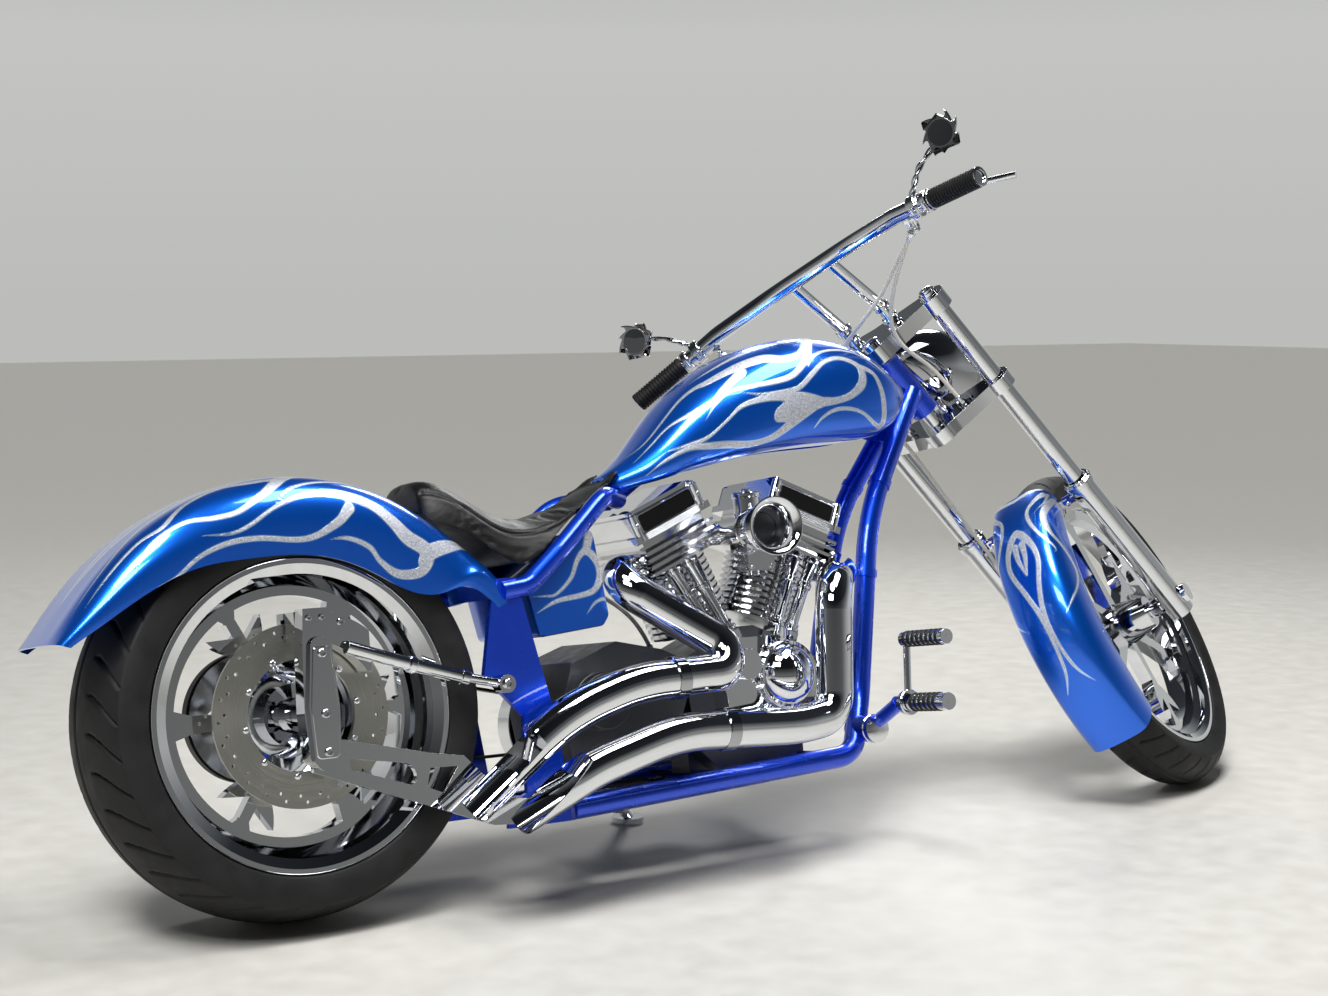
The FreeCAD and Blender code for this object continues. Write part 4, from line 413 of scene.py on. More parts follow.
# part made of a grid, with flat caps on its first and last rows where asked
def gridPart(grid, wrapRows=False, wrapColumns=False, caps=False):
    rows, columns = grid.shape[:2]
    faces = gridFaces(rows, columns, wrapRows, wrapColumns)
    if caps:
        faces += [tuple(range(columns))[::-1], tuple(range((rows - 1) * columns, rows * columns))]
    return grid.reshape(-1, 3), faces


# several parts as one
def joined(parts):
    vertices, faces, first = [], [], 0
    for points, sides in parts:
        vertices.append(points)
        faces += [tuple(first + k for k in side) for side in sides]
        first += len(points)
    return np.concatenate(vertices), faces


# a part moved by a 4 by 4 array
def placed(part, place):
    points, faces = part
    return points @ place[:3, :3].T + place[:3, 3], faces


# profile of (along, radius) points turned about the Z axis; an open profile gets end caps
def lathed(profile, sides=64, closed=False):
    profile = np.array(profile, float)
    angle = np.linspace(0, 2 * math.pi, sides, endpoint=False)
    grid = np.stack([profile[:, 1:2] * np.cos(angle), profile[:, 1:2] * np.sin(angle),
                     np.repeat(profile[:, :1], sides, 1)], -1)
    return gridPart(grid, wrapRows=closed, wrapColumns=True, caps=not closed)


# smooth line through points: Catmull-Rom, each span cut into equal steps
def smoothLine(points, steps=12):
    p = np.array(points, float)
    p = np.concatenate([[2 * p[0] - p[1]], p, [2 * p[-1] - p[-2]]])
    t = np.linspace(0, 1, steps, endpoint=False)[:, None]
    spans = [0.5 * (2 * b + (c - a) * t + (2 * a - 5 * b + 4 * c - d) * t ** 2
                    + (3 * b - a - 3 * c + d) * t ** 3) for a, b, c, d in zip(p, p[1:], p[2:], p[3:])]
    return np.concatenate(spans + [p[-2:-1]])


# straight runs joined by tangent arcs of given radii, each arc cut into equal steps
def bentLine(points, radii, steps=14):
    p = np.array(points, float)
    line = [p[0]]
    for before, corner, after, radius in zip(p, p[1:], p[2:], radii):
        back, ahead = before - corner, after - corner
        back, ahead = back / np.linalg.norm(back), ahead / np.linalg.norm(ahead)
        half = math.acos(np.clip(back @ ahead, -1, 1)) / 2
        inward = (back + ahead) / np.linalg.norm(back + ahead)
        centre = corner + inward * radius / math.sin(half)
        first = corner + back * radius / math.tan(half) - centre
        last = corner + ahead * radius / math.tan(half) - centre
        turn = math.pi - 2 * half
        for t in np.linspace(0, 1, steps):
            line.append(centre
                        + (math.sin((1 - t) * turn) * first + math.sin(t * turn) * last) / math.sin(turn))
    return np.array(line + [p[-1]])


# round tube along a line; its rings turn least from one to the next; radii may vary
def tubePart(line, radius, sides=24, caps=True):
    ahead = np.gradient(line, axis=0)
    ahead /= np.linalg.norm(ahead, axis=1, keepdims=True)
    side = np.cross(ahead[0], [0.31, 0.52, 0.79])
    radii = np.broadcast_to(radius, len(line))
    angle = np.linspace(0, 2 * math.pi, sides, endpoint=False)[:, None]
    rings = []
    for spot, way, r in zip(line, ahead, radii):
        side = side - way * (side @ way)
        side /= np.linalg.norm(side)
        rings.append(spot + r * (np.cos(angle) * side + np.sin(angle) * np.cross(way, side)))
    return gridPart(np.array(rings), wrapColumns=True, caps=caps)


# flat outline in X and Y raised from low to high along Z, with its edges bevelled
def slabPart(outline, low, high, bevel=1.0):
    points = np.array(outline, float)
    area = 0.5 * np.sum(points[:, 0] * np.roll(points[:, 1], -1) - np.roll(points[:, 0], -1) * points[:, 1])
    if area < 0:
        points = points[::-1]
    back, ahead = points - np.roll(points, 1, 0), np.roll(points, -1, 0) - points
    back /= np.linalg.norm(back, axis=1, keepdims=True)
    ahead /= np.linalg.norm(ahead, axis=1, keepdims=True)
    inward = np.stack([-(back + ahead)[:, 1], (back + ahead)[:, 0]], 1)
    inward /= np.maximum(np.linalg.norm(inward, axis=1, keepdims=True), 0.3)
    rings = [(bevel, low), (0, low + bevel), (0, high - bevel), (bevel, high)]
    grid = np.stack([np.column_stack([points + inward * inset, np.full(len(points), z)]) for inset,
                     z in rings])
    return gridPart(grid, wrapColumns=True, caps=True)


# places that turn a plane outline to face along Y: outline X stays ahead and outline Y goes up
uprightTurn = turned(90, "X")


# socket bolt head: a round cap turned from its profile, whose inner rows follow a hexagon; its foot
# is at a point and its top along a direction
def boltPart(foot, direction, radius=6.0, high=6.0, sides=24):
    angle = np.linspace(0, 2 * math.pi, sides, endpoint=False)
    hexagon = 0.866 / np.cos((angle + math.pi / 6) % (math.pi / 3) - math.pi / 6)
    rows = [(0, 0.02, 0), (0, 1, 0), (0.85, 1, 0), (1, 0.88, 0), (1, 0.6, 1), (0.45, 0.57, 1), (0.4, 0.02, 1)]
    grid = []
    for z, r, inner in rows:
        reach = r * radius * (hexagon if inner else 1)
        grid.append(np.column_stack([reach * np.cos(angle), reach * np.sin(angle), np.full(sides, z * high)]))
    return placed(gridPart(np.array(grid), wrapColumns=True, caps=True), axisPlace(foot, direction))


# faces of every closed part turned to point outwards
def outwards(mesh):
    work = bmesh.new()
    work.from_mesh(mesh)
    bmesh.ops.recalc_face_normals(work, faces=work.faces)
    work.to_mesh(mesh)
    work.free()


# a new piece from a part in its carrier's frame; point attributes are given as arrays
def addPiece(name, part, place, material, body, replaces=(), sharpDegrees=35, attributes=None):
    points, faces = placed(part, place)
    mesh = bpy.data.meshes.new(name)
    mesh.from_pydata(points.tolist(), [], faces)
    mesh.validate()
    outwards(mesh)
    for key, values in (attributes or {}).items():
        layer = mesh.attributes.new(key, "FLOAT", "POINT")
        layer.data.foreach_set("value", np.asarray(values, np.float32))
    mesh.materials.append(material)
    mesh.shade_smooth()
    mesh.set_sharp_from_angle(angle=math.radians(sharpDegrees))
    piece = bpy.data.objects.new(name, mesh)
    bpy.context.scene.collection.objects.link(piece)
    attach(piece, body)
    if replaces:
        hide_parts(*replaces)
    return piece


# a finished copy of a CAD node: its facets welded, smooth faces blended, sharp edges rounded
def dressNode(node, bevelMm, sharpDegrees=28):
    source = frame["nodes"][node]
    mesh = source.data.copy()
    mesh.name = node + "_skin"
    work = bmesh.new()
    work.from_mesh(mesh)
    bmesh.ops.remove_doubles(work, verts=work.verts, dist=1e-6)
    bmesh.ops.dissolve_limit(work, angle_limit=math.radians(0.5), verts=work.verts, edges=work.edges)
    for edge in work.edges:
        edge.smooth = len(edge.link_faces) == 2 and edge.calc_face_angle(3.2) < math.radians(sharpDegrees)
    for face in work.faces:
        face.smooth = True
    work.to_mesh(mesh)
    work.free()
    if mesh.has_custom_normals:
        mesh.attributes.remove(mesh.attributes["custom_normal"])
    mesh.materials.clear()
    mesh.materials.append(finishes[node])
    piece = bpy.data.objects.new(node + "_skin", mesh)
    bpy.context.scene.collection.objects.link(piece)
    rounding = piece.modifiers.new("rounding", "BEVEL")
    rounding.width, rounding.segments = bevelMm * mm, 2
    rounding.limit_method, rounding.angle_limit = "ANGLE", math.radians(sharpDegrees)
    rounding.harden_normals = True
    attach(piece, source["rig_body"])
    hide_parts(node)


# material of each CAD node, also of those that a finer piece replaces
finishes = {
    "frame_backbone": frameBlue, "frame_cradle": frameBlue, "frame_side_plates": frameBlue,
    "swing_arms": chrome, "rear_axle": chrome, "axle_carrier": chrome, "rear_caliper": chrome,
    "shock_absorbers": darkChrome, "rear_fender": frameBlue, "front_fender": frameBlue,
    # crankcase and gearbox take the cast metal whose dark base is painted shade
    "fuel_tank": frameBlue, "oil_tank": frameBlue, "seat": seatLeather, "crankcase": castPaintedShade,
    "cylinders": polishedAlloy, "cylinder_heads": polishedAlloy, "rocker_boxes": chrome,
    "pushrod_tubes": chrome, "cam_cover": chrome, "carburettor": polishedAlloy, "intake_horn": chrome,
    "gearbox": castPaintedShade, "primary_cover": chrome, "drive_belt": gripRubber, "exhaust_pipes": chrome,
    "foot_pegs": chrome, "foot_levers": chrome, "oil_line": hoseWhite, "brake_hose": hoseWhite,
    "control_cables": hoseWhite, "rear_tyre": tyreRubber, "front_tyre": tyreRubber, "rear_rim": chrome,
    "front_rim": chrome, "rear_disc": discSteel, "front_disc": discSteel, "rear_pulley": polishedAlloy,
    "headlight": chrome, "fork_trees": chrome, "fork_tubes": chrome, "fork_sliders": chrome,
    "front_axle": chrome, "front_caliper": chrome, "handlebar": chrome, "grips": gripRubber,
    "hand_levers": chrome, "mirrors": chrome, "side_stand": chrome,
}
for node, finish in finishes.items():
    frame["nodes"][node].data.materials.clear()
    frame["nodes"][node].data.materials.append(finish)
print("finishes")

# Painted bodywork: tank and fenders drawn as grids through their sections

farMm = 50.0  # flame distance of points that carry no flame

# natural cubic spline through points, spaced by the distances between them
def naturalLine(points, count):
    p = np.array(points, float)
    gap = np.linalg.norm(np.diff(p, axis=0), axis=1)
    t = np.concatenate([[0], np.cumsum(gap)])
    n = len(p)
    rows, right = np.eye(n), np.zeros_like(p)
    for i in range(1, n - 1):
        rows[i, i - 1:i + 2] = gap[i - 1], 2 * (gap[i - 1] + gap[i]), gap[i]
        right[i] = 6 * ((p[i + 1] - p[i]) / gap[i] - (p[i] - p[i - 1]) / gap[i - 1])
    bend = np.linalg.solve(rows, right)
    at = np.linspace(0, t[-1], count)
    k = np.clip(np.searchsorted(t, at, "right") - 1, 0, n - 2)
    d, h = (at - t[k])[:, None], gap[k][:, None]
    slope = (p[k + 1] - p[k]) / h - h * (2 * bend[k] + bend[k + 1]) / 6
    return p[k] + d * slope + d ** 2 * bend[k] / 2 + d ** 3 * (bend[k + 1] - bend[k]) / (6 * h)


# length along each row of a grid from its middle point, never negative
def girth(grid):
    steps = np.linalg.norm(np.diff(grid, axis=1), axis=2)
    run = np.concatenate([np.zeros((len(grid), 1)), np.cumsum(steps, axis=1)], 1)
    middle = grid.shape[1] // 2
    return np.abs(run - run[:, middle:middle + 1])


# distance from each spot to the edge of the nearest tapered stroke, negative inside; a stroke is
# a smooth line through (along, across, half width) points
def strokeDistance(spots, strokes, alongScale=1.0):
    flat = spots.reshape(-1, 2)
    best = np.full(len(flat), 1e3)
    for stroke in strokes:
        line = smoothLine(stroke, 6) * np.array([alongScale, 1, 1])
        for a, b in zip(line, line[1:]):
            run = b[:2] - a[:2]
            share = np.clip(((flat - a[:2]) @ run) / max(run @ run, 1e-6), 0, 1)
            away = np.linalg.norm(flat - a[:2] - share[:, None] * run, axis=1)
            best = np.minimum(best, away - np.maximum(a[2] + share * (b[2] - a[2]), 0.2))
    return best.reshape(spots.shape[:-1])


# Fuel tank: stations are x, top, low and half width; the strokes are x, girth from the ridge
# and half width, and both sides carry the same ones
tankValues = {
    "rows": 200, "columns": 181, "groove": 25,
    "stations": [
        (628, 694, 664, 30), (680, 728, 672, 66), (770, 818, 692, 104), (880, 896, 714, 134),
        (1000, 935, 730, 149), (1110, 936, 737, 150), (1190, 908, 750, 138), (1250, 862, 796, 100),
    ],
    "section": [
        (-0.70, 0), (-0.93, 0.10), (-1, 0.38), (-0.90, 0.68), (-0.58, 0.92), (0, 1), (0.58, 0.92),
        (0.90, 0.68), (1, 0.38), (0.93, 0.10), (0.70, 0),
    ],
    "backbone": [(640, 655), (715, 705), (1341, 840)],
}
tankFlames = [
    [
        (685, 95, 0.5), (715, 110, 3), (760, 145, 4), (805, 190, 5), (870, 245, 6), (915, 262, 8),
        (955, 252, 10), (990, 241, 10), (1017, 232, 10), (1055, 232, 7), (1090, 221, 7), (1121, 192, 9),
        (1124, 157, 9), (1088, 145, 6), (1047, 155, 5), (1011, 177, 6), (979, 194, 6), (945, 190, 5),
        (904, 174, 3), (867, 147, 0.5),
    ],
    [
        (723, 102, 0.5), (758, 137, 3), (794, 165, 4), (831, 171, 4), (860, 169, 5), (893, 179, 6),
        (940, 197, 8), (982, 215, 12), (1017, 231, 12),
    ],
    [(935, 226, 15), (957, 228, 20), (985, 230, 14), (1010, 231, 10)],
    [
        (1003, 279, 0.5), (1020, 261, 3), (1050, 249, 4), (1085, 247, 4), (1115, 251, 4), (1147, 263, 5),
        (1166, 260, 7), (1168, 222, 7), (1166, 187, 7), (1155, 161, 7), (1124, 157, 8),
    ],
    [
        (1008, 165, 0.5), (1020, 146, 3), (1050, 130, 4), (1091, 121, 4), (1133, 117, 4), (1164, 122, 5),
        (1190, 135, 6),
    ],
    [
        (673, 16, 0.5), (705, 39, 3), (744, 46, 4), (783, 50, 5), (810, 61, 6), (828, 74, 8), (860, 86, 10),
        (893, 95, 12), (937, 108, 12), (971, 127, 9), (1008, 125, 8), (1044, 89, 8), (1070, 60, 7),
    ],
    [(673, 51, 0.5), (710, 60, 3), (740, 70, 3), (779, 99, 4), (817, 119, 6), (840, 116, 8), (883, 112, 12)],
    [
        (794, 136, 0.5), (817, 128, 3), (850, 129, 3), (891, 150, 4), (934, 165, 6), (971, 168, 7),
        (1000, 153, 7), (1023, 130, 8), (1050, 89, 8),
    ],
    [
        (808, 30, 0.5), (857, 50, 5), (923, 62, 7), (979, 70, 8), (1030, 74, 8), (1075, 56, 7),
        (1110, 30, 7), (1125, 0, 7),
    ],
]


# tank: its sections from the right foot over the ridge to the left foot, then the backbone's
# groove from left to right
def tankGrid():
    v = tankValues
    rows = []
    for x, top, low, half in naturalLine(v["stations"], v["rows"]):
        shell = naturalLine([(x, half * side, low + (top - low) * up) for side, up in v["section"]],
                            v["columns"])
        roof = max(np.interp(x, [p[0] for p in v["backbone"]], [p[1] for p in v["backbone"]]), low)
        turn = np.linspace(0, math.pi, 7)
        under = v["groove"] * np.column_stack([0 * turn, np.cos(turn), np.sin(turn)]) + (x, 0, roof)
        rows.append(np.concatenate([shell, [(x, v["groove"], low)], under, [(x, -v["groove"], low)]]))
    return np.array(rows)


# the tank's piece, whose flames are measured by x and by the girth from the ridge
def addTank():
    grid, columns = tankGrid(), tankValues["columns"]
    spots = np.stack([grid[:, :columns, 0], girth(grid[:, :columns])], -1)
    flame = np.full(grid.shape[:2], farMm)
    flame[:, :columns] = strokeDistance(spots, tankFlames)
    addPiece("painted_tank", gridPart(grid, wrapColumns=True, caps=True), machine, candyBlue, "chassis",
             ("fuel_tank",), 40, {"flameMm": flame.ravel()})


addTank()
print("tank")

# Fenders: sections are degrees about the axle, crown radius, edge radius and half width; the
# strokes are degrees, girth from the crown line and half width
archShape = [(-1, 0), (-0.985, 0.5), (-0.80, 0.87), (-0.42, 0.985), (0, 1), (0.42, 0.985), (0.80, 0.87),
             (0.985, 0.5), (1, 0)]
rearFender = {
    "rows": 280, "columns": 171, "innerColumns": 41, "wall": 4, "degreeMm": 6.75,
    "sections": [
        (23, 421, 372, 136), (31, 409, 348, 140), (40, 400, 272, 142), (52, 392, 250, 142),
        (75, 385, 248, 142), (100, 382, 254, 142), (122, 382, 284, 142), (140, 387, 318, 138),
        (152, 396, 350, 132), (160, 408, 384, 124),
    ],
    "strokes": [
        [
            (137, 188, 0.5), (131, 197, 3), (122, 193, 4), (113, 195, 5), (104, 203, 5), (92, 216, 5),
            (84, 211, 6), (77, 185, 9), (74, 158, 12),
        ],
        [
            (119, 166, 0.5), (111, 183, 3), (104, 180, 4), (96, 162, 4), (88, 146, 5), (81, 137, 8),
            (74, 136, 10), (67, 142, 10), (61, 155, 12), (55, 169, 14), (48, 172, 14), (46, 207, 12),
            (52, 231, 8), (60, 226, 5), (65, 212, 5), (73, 208, 4), (80, 216, 0.5),
        ],
        [(38, 95, 8), (41, 114, 10), (44, 140, 14), (47, 170, 16), (47, 188, 14)],
        [
            (137, 146, 0.5), (129, 132, 3), (120, 134, 4), (113, 150, 5), (106, 155, 5), (99, 139, 6),
            (94, 119, 10), (90, 95, 12), (84, 62, 14), (80, 30, 14), (79, 0, 14),
        ],
        [
            (151, 118, 0.5), (142, 115, 3), (131, 112, 4), (124, 118, 5), (116, 95, 6), (107, 83, 8),
            (100, 96, 8), (93, 100, 6),
        ],
        [
            (96, 159, 0.5), (91, 133, 3), (86, 120, 4), (76, 100, 4), (65, 80, 4), (61, 88, 4), (57, 92, 4),
            (48, 96, 5),
        ],
        [(153, 98, 0.5), (139, 89, 3), (126, 62, 4), (119, 61, 5), (110, 46, 6), (100, 36, 8), (90, 34, 10)],
        [(150, 0, 0.5), (140, 8, 5), (130, 14, 7), (118, 18, 7), (106, 10, 8), (98, 0, 9)],
    ],
}
frontFender = {
    "rows": 200, "columns": 111, "innerColumns": 41, "wall": 4, "degreeMm": 6.6,
    "sections": [
        (89, 372, 298, 70), (98, 374, 298, 71), (118, 374, 288, 73), (140, 374, 288, 73),
        (160, 374, 292, 72), (174, 376, 302, 71), (182, 379, 312, 70),
    ],
    "strokes": [
        [
            (140, 41, 0.5), (136, 68, 3), (130, 106, 4), (123, 122, 5), (116, 100, 6), (111, 73, 6),
            (104, 63, 8), (98, 75, 9), (92, 95, 9), (94, 120, 8), (100, 132, 6), (109, 138, 5),
            (118, 140, 5), (127, 140, 4), (136, 142, 3), (143, 143, 0.5),
        ],
        [(119, 68, 0.5), (117, 73, 3), (111, 48, 4), (105, 33, 5), (100, 31, 5), (96, 47, 6), (92, 66, 8)],
        [(102, 45, 0.5), (97, 67, 3), (91, 76, 5)],
        [
            (162, 35, 0.5), (156, 14, 3), (150, 6, 4), (142, 3, 5), (135, 6, 6), (128, 17, 6), (120, 32, 6),
            (114, 28, 7), (109, 12, 9), (107, 0, 9),
        ],
        [(123, 0, 3), (117, 8, 6), (112, 8, 8)], [(89, 60, 6), (90, 30, 7), (91, 0, 7)],
    ],
}


# thin arched shell: the outer face's rows, then the inner face's, as one closed strip of columns
def addFender(name, values, place, body, node):
    v = values
    rows = []
    for degrees, crown, edge, half in naturalLine(v["sections"], v["rows"]):
        out = np.array([math.cos(math.radians(degrees)), 0, math.sin(math.radians(degrees))])
        faces = []
        for inset, columns in ((0, v["columns"]), (v["wall"], v["innerColumns"])):
            points = [out * (edge + (crown - inset - edge) * rise) + np.array([0, (half - inset) * side, 0])
                      for side, rise in archShape]
            faces.append(naturalLine(points, columns))
        rows.append(np.concatenate([faces[0], faces[1][::-1]]))
    grid = np.array(rows)
    degrees = naturalLine(v["sections"], v["rows"])[:, :1] * np.ones((1, v["columns"]))
    spots = np.stack([degrees * v["degreeMm"], girth(grid[:, :v["columns"]])], -1)
    flame = np.full(grid.shape[:2], farMm)
    flame[:, :v["columns"]] = strokeDistance(spots, v["strokes"], v["degreeMm"])
    addPiece(name, gridPart(grid, wrapColumns=True, caps=True), place, candyBlue, body, (node,), 40,
             {"flameMm": flame.ravel()})


addFender("painted_rear_fender", rearFender, rearWheel, "chassis", "rear_fender")
addFender("painted_front_fender", frontFender, frontWheel, "steering", "front_fender")
print("fenders")

# Oil tank: the outline of its side, with flames on both sides; strokes are x, z and half width
oilValues = {
    "outline": [(406, 500), (474, 550), (541, 606), (562, 446), (550, 430), (424, 418)], "half": 116,
    "corner": 12, "stepMm": 3, "round": [(1, 5), (0.992, 2), (0.975, 0)], "shares": (0.94, 0.02, 32),
    "strokes": [
        [
            (416, 487, 0.5), (440, 487, 2), (462, 489, 3), (493, 515, 4), (508, 545, 5), (526, 559, 7),
            (546, 540, 8), (550, 515, 8), (536, 492, 6), (508, 484, 5), (461, 477, 4), (422, 459, 0.5),
        ],
        [(516, 450, 0.5), (536, 470, 3), (556, 475, 3), (566, 462, 3)],
        [(526, 559, 8), (534, 585, 9), (538, 604, 9)],
    ],
}


# outline with its corners rounded by arcs, all radii alike
def roundedOutline(points, radius, steps=7):
    closed = [tuple(p) + (0,) for p in points]
    middle = tuple(np.mean([closed[0], closed[-1]], axis=0))
    return bentLine([middle] + closed + [middle], [radius] * len(closed), steps)[:-1, :2]


# plate of the side: rings shrink from the rounded outline to its middle, so that the flame's
# distance has points to live on; the rim turns inward by a quarter round
def addOilTank():
    v = oilValues
    rim = roundedOutline(v["outline"], v["corner"])
    runs = []
    for a, b in zip(rim, np.roll(rim, -1, 0)):
        steps = max(int(np.linalg.norm(b - a) / v["stepMm"]), 1)
        runs.append(a + (b - a) * np.linspace(0, 1, steps, endpoint=False)[:, None])
    dense = np.concatenate(runs)
    middle = dense.mean(axis=0)
    shares = v["round"] + [(share, 0) for share in np.linspace(*v["shares"])]
    rings = [np.column_stack([middle + (dense - middle) * share, np.full(len(dense), v["half"] - inset)])
             for share, inset in shares]
    grid = np.array([ring * (1, 1, -1) for ring in rings[::-1]] + rings)[:, :, [0, 2, 1]]
    flame = strokeDistance(grid[:, :, [0, 2]], v["strokes"])
    addPiece("painted_oil_tank", gridPart(grid, wrapColumns=True, caps=True), machine, candyBlue, "chassis",
             ("oil_tank",), 40, {"flameMm": flame.ravel()})


addOilTank()
print("oil tank")

# Tyres: section from bead to bead over the tread; grooves sweep by degrees between two shares of
# the half width; the shape's own values hold for both
tyreValues = {
    "rear": {
        "outer": 328, "wide": 250, "bead": 230, "lip": 246, "rim": 236, "crown": 255, "wall": 14,
        "grooves": 34, "grooveMm": 7, "depth": 5.5, "sweep": 9.0, "from": 0.36, "to": 0.97,
    },
    "front": {
        "outer": 350, "wide": 120, "bead": 270, "lip": 281, "rim": 92, "crown": 65, "wall": 9,
        "grooves": 40, "grooveMm": 5, "depth": 3.5, "sweep": 7.0, "from": 0.25, "to": 0.95,
    },
}
tyreShape = {
    "seatIn": 7.3, "shoulderIn": 4, "flankMm": 4, "bulge": 0.8, "wallSteps": 16, "treadSteps": 60,
    "innerSteps": 12, "beadMm": 16, "perGroove": 17, "curl": 1.6, "taperShare": 0.08, "taperLow": 0.2,
    "softMm": 1.2, "ringHalf": 2.5, "ringShare": 0.8,
}


# arc between two points of a plane with a given radius, bulging to the left of travel
def arcBetween(a, b, radius, steps):
    a, b = np.array(a, float), np.array(b, float)
    chord = b - a
    left = np.array([-chord[1], chord[0]]) / np.linalg.norm(chord)
    centre = (a + b) / 2 - left * math.sqrt(max(radius ** 2 - chord @ chord / 4, 0))
    start, end = (math.atan2(*(p - centre)[::-1]) for p in (a, b))
    end = start + (end - start + math.pi) % (2 * math.pi) - math.pi
    turn = np.linspace(start, end, steps)
    return centre + radius * np.column_stack([np.cos(turn), np.sin(turn)])


# tyre as a grid of rings: the tread's rings sink where a curved groove passes, by its depth
def addTyre(name, values, place, body, node):
    v, s = values, tyreShape
    seat, shoulder, lip = v["rim"] / 2 - s["seatIn"], v["wide"] / 2 - s["shoulderIn"], v["rim"] / 2 + 1
    drop = v["crown"] - math.sqrt(v["crown"] ** 2 - shoulder ** 2)
    edge = v["outer"] - drop
    wall = arcBetween((-lip, v["lip"] + s["flankMm"]), (-shoulder, edge),
                      s["bulge"] * (v["outer"] - v["lip"]), s["wallSteps"])
    tread = arcBetween((-shoulder, edge), (shoulder, edge), v["crown"], s["treadSteps"])
    back = np.linspace(1, -1, s["innerSteps"])
    inside = np.column_stack([back * (shoulder - v["wall"]), edge - v["wall"] + drop * (1 - back ** 2)])
    section = np.concatenate([[(-seat, v["bead"] + 0.3), (-seat, v["lip"] + 1)], wall[:-1], tread,
                              (wall * (-1, 1))[::-1][1:], [(seat, v["lip"] + 1), (seat, v["bead"] + 0.3),
                                                           (seat - s["beadMm"], v["bead"] + 0.3)], inside,
                              [(-seat + s["beadMm"], v["bead"] + 0.3)]])
    onTread = np.zeros(len(section), bool)
    onTread[len(wall) + 1:len(wall) + 1 + len(tread)] = True
    sides = v["grooves"] * s["perGroove"]
    angle = np.linspace(0, 2 * math.pi, sides, endpoint=False)[:, None]
    share = np.abs(section[:, 0]) / shoulder
    pitch = 2 * math.pi / v["grooves"]
    curve = np.radians(v["sweep"]) * np.maximum((share - v["from"]) / (1 - v["from"]), 0) ** s["curl"]
    curve = np.where(section[:, 0] > 0, curve, curve + pitch / 2)
    across = np.abs((angle - curve + pitch / 2) % pitch - pitch / 2) * v["outer"]
    within = onTread & (share > v["from"]) & (share < v["to"])
    taper = np.clip((share - v["from"]) / s["taperShare"], s["taperLow"], 1) * v["grooveMm"] / 2
    sink = np.where(within, v["depth"] * np.clip((taper - across) / s["softMm"] + 0.5, 0, 1), 0)
    ring = np.abs(section[:, 0]) < s["ringHalf"]
    sink = np.where(onTread & ring, v["depth"] * s["ringShare"], sink)
    radius = section[:, 1] - sink
    grid = np.stack([radius * np.cos(angle), -section[:, 0] * np.ones_like(angle), radius * np.sin(angle)],
                    -1)
    addPiece(name, gridPart(grid, wrapRows=True, wrapColumns=True), place, tyreRubber, body, (node,), 50)


addTyre("treaded_rear_tyre", tyreValues["rear"], rearWheel, "rear_wheel", "rear_tyre")
addTyre("treaded_front_tyre", tyreValues["front"], frontWheel, "front_wheel", "front_tyre")
print("tyres")

# Saddle: the CAD shape remeshed, blown up by cloth pressure, then given its seam and stitches.
# The seam and the thread run at a share of the half width and of the height.

saddleValues = {
    "voxelMm": 5, "shrinkMm": 5.0, "pressure": 4.0, "frames": 20, "capMm": 5.2, "quickShare": 0.8,
    "heldBelow": -0.4, "seam": (0.86, 0.70), "seamDeep": 2.2, "seamMm": 2.6, "crownMm": 0.9, "crownAway": 9,
    "crownWide": 5, "thread": (0.80, 0.77), "stitchMm": 3.6, "pitchMm": 6.0, "threadMm": 0.55,
    "endMm": (4, 6), "lift": (-0.3, 0.7, 0.7, -0.3),
    "stations": [
        (248, 688, 636, 84), (268, 698, 610, 106), (330, 664, 575, 128), (390, 630, 540, 134),
        (445, 624, 560, 128), (520, 643, 615, 108), (590, 674, 652, 80), (640, 696, 680, 48),
    ],
}


# points in metres of the row's frame, brought to millimetres of a carrier's frame
def intoFrame(spots, place):
    return (spots - place[:3, 3]) @ np.linalg.inv(place[:3, :3]).T


# points in millimetres of a carrier's frame, brought to metres of the row's frame
def intoRow(spots, place):
    return spots @ place[:3, :3].T + place[:3, 3]


# points of a mesh as an array in millimetres of a carrier's frame
def meshSpots(mesh, place):
    spots = np.empty(len(mesh.vertices) * 3)
    mesh.vertices.foreach_get("co", spots)
    return intoFrame(spots.reshape(-1, 3), place)


# writes points of a carrier's frame back into a mesh
def setSpots(mesh, spots, place):
    mesh.vertices.foreach_set("co", intoRow(spots, place).ravel())
    mesh.update()


# unit normals of a mesh's points in a carrier's frame
def meshNormals(mesh, place):
    ways = np.empty(len(mesh.vertices) * 3)
    mesh.vertices.foreach_get("normal", ways)
    ways = ways.reshape(-1, 3) @ place[:3, :3]
    return ways / np.linalg.norm(ways, axis=1, keepdims=True)


# the object's modifiers turned into its own mesh
def applyAll(piece):
    shape = bpy.data.meshes.new_from_object(piece.evaluated_get(bpy.context.evaluated_depsgraph_get()))
    piece.modifiers.clear()
    piece.data = shape


# line along one side of the saddle, laid on its skin
def skinLine(piece, side, across, up):
    rows = naturalLine(saddleValues["stations"], 60)
    path = np.array([(x, side * half * across, low + (top - low) * up) for x, top, low, half in rows])
    found = [piece.closest_point_on_mesh(Vector(spot))[1] for spot in intoRow(path, machine)]
    return intoFrame(np.array(found), machine)


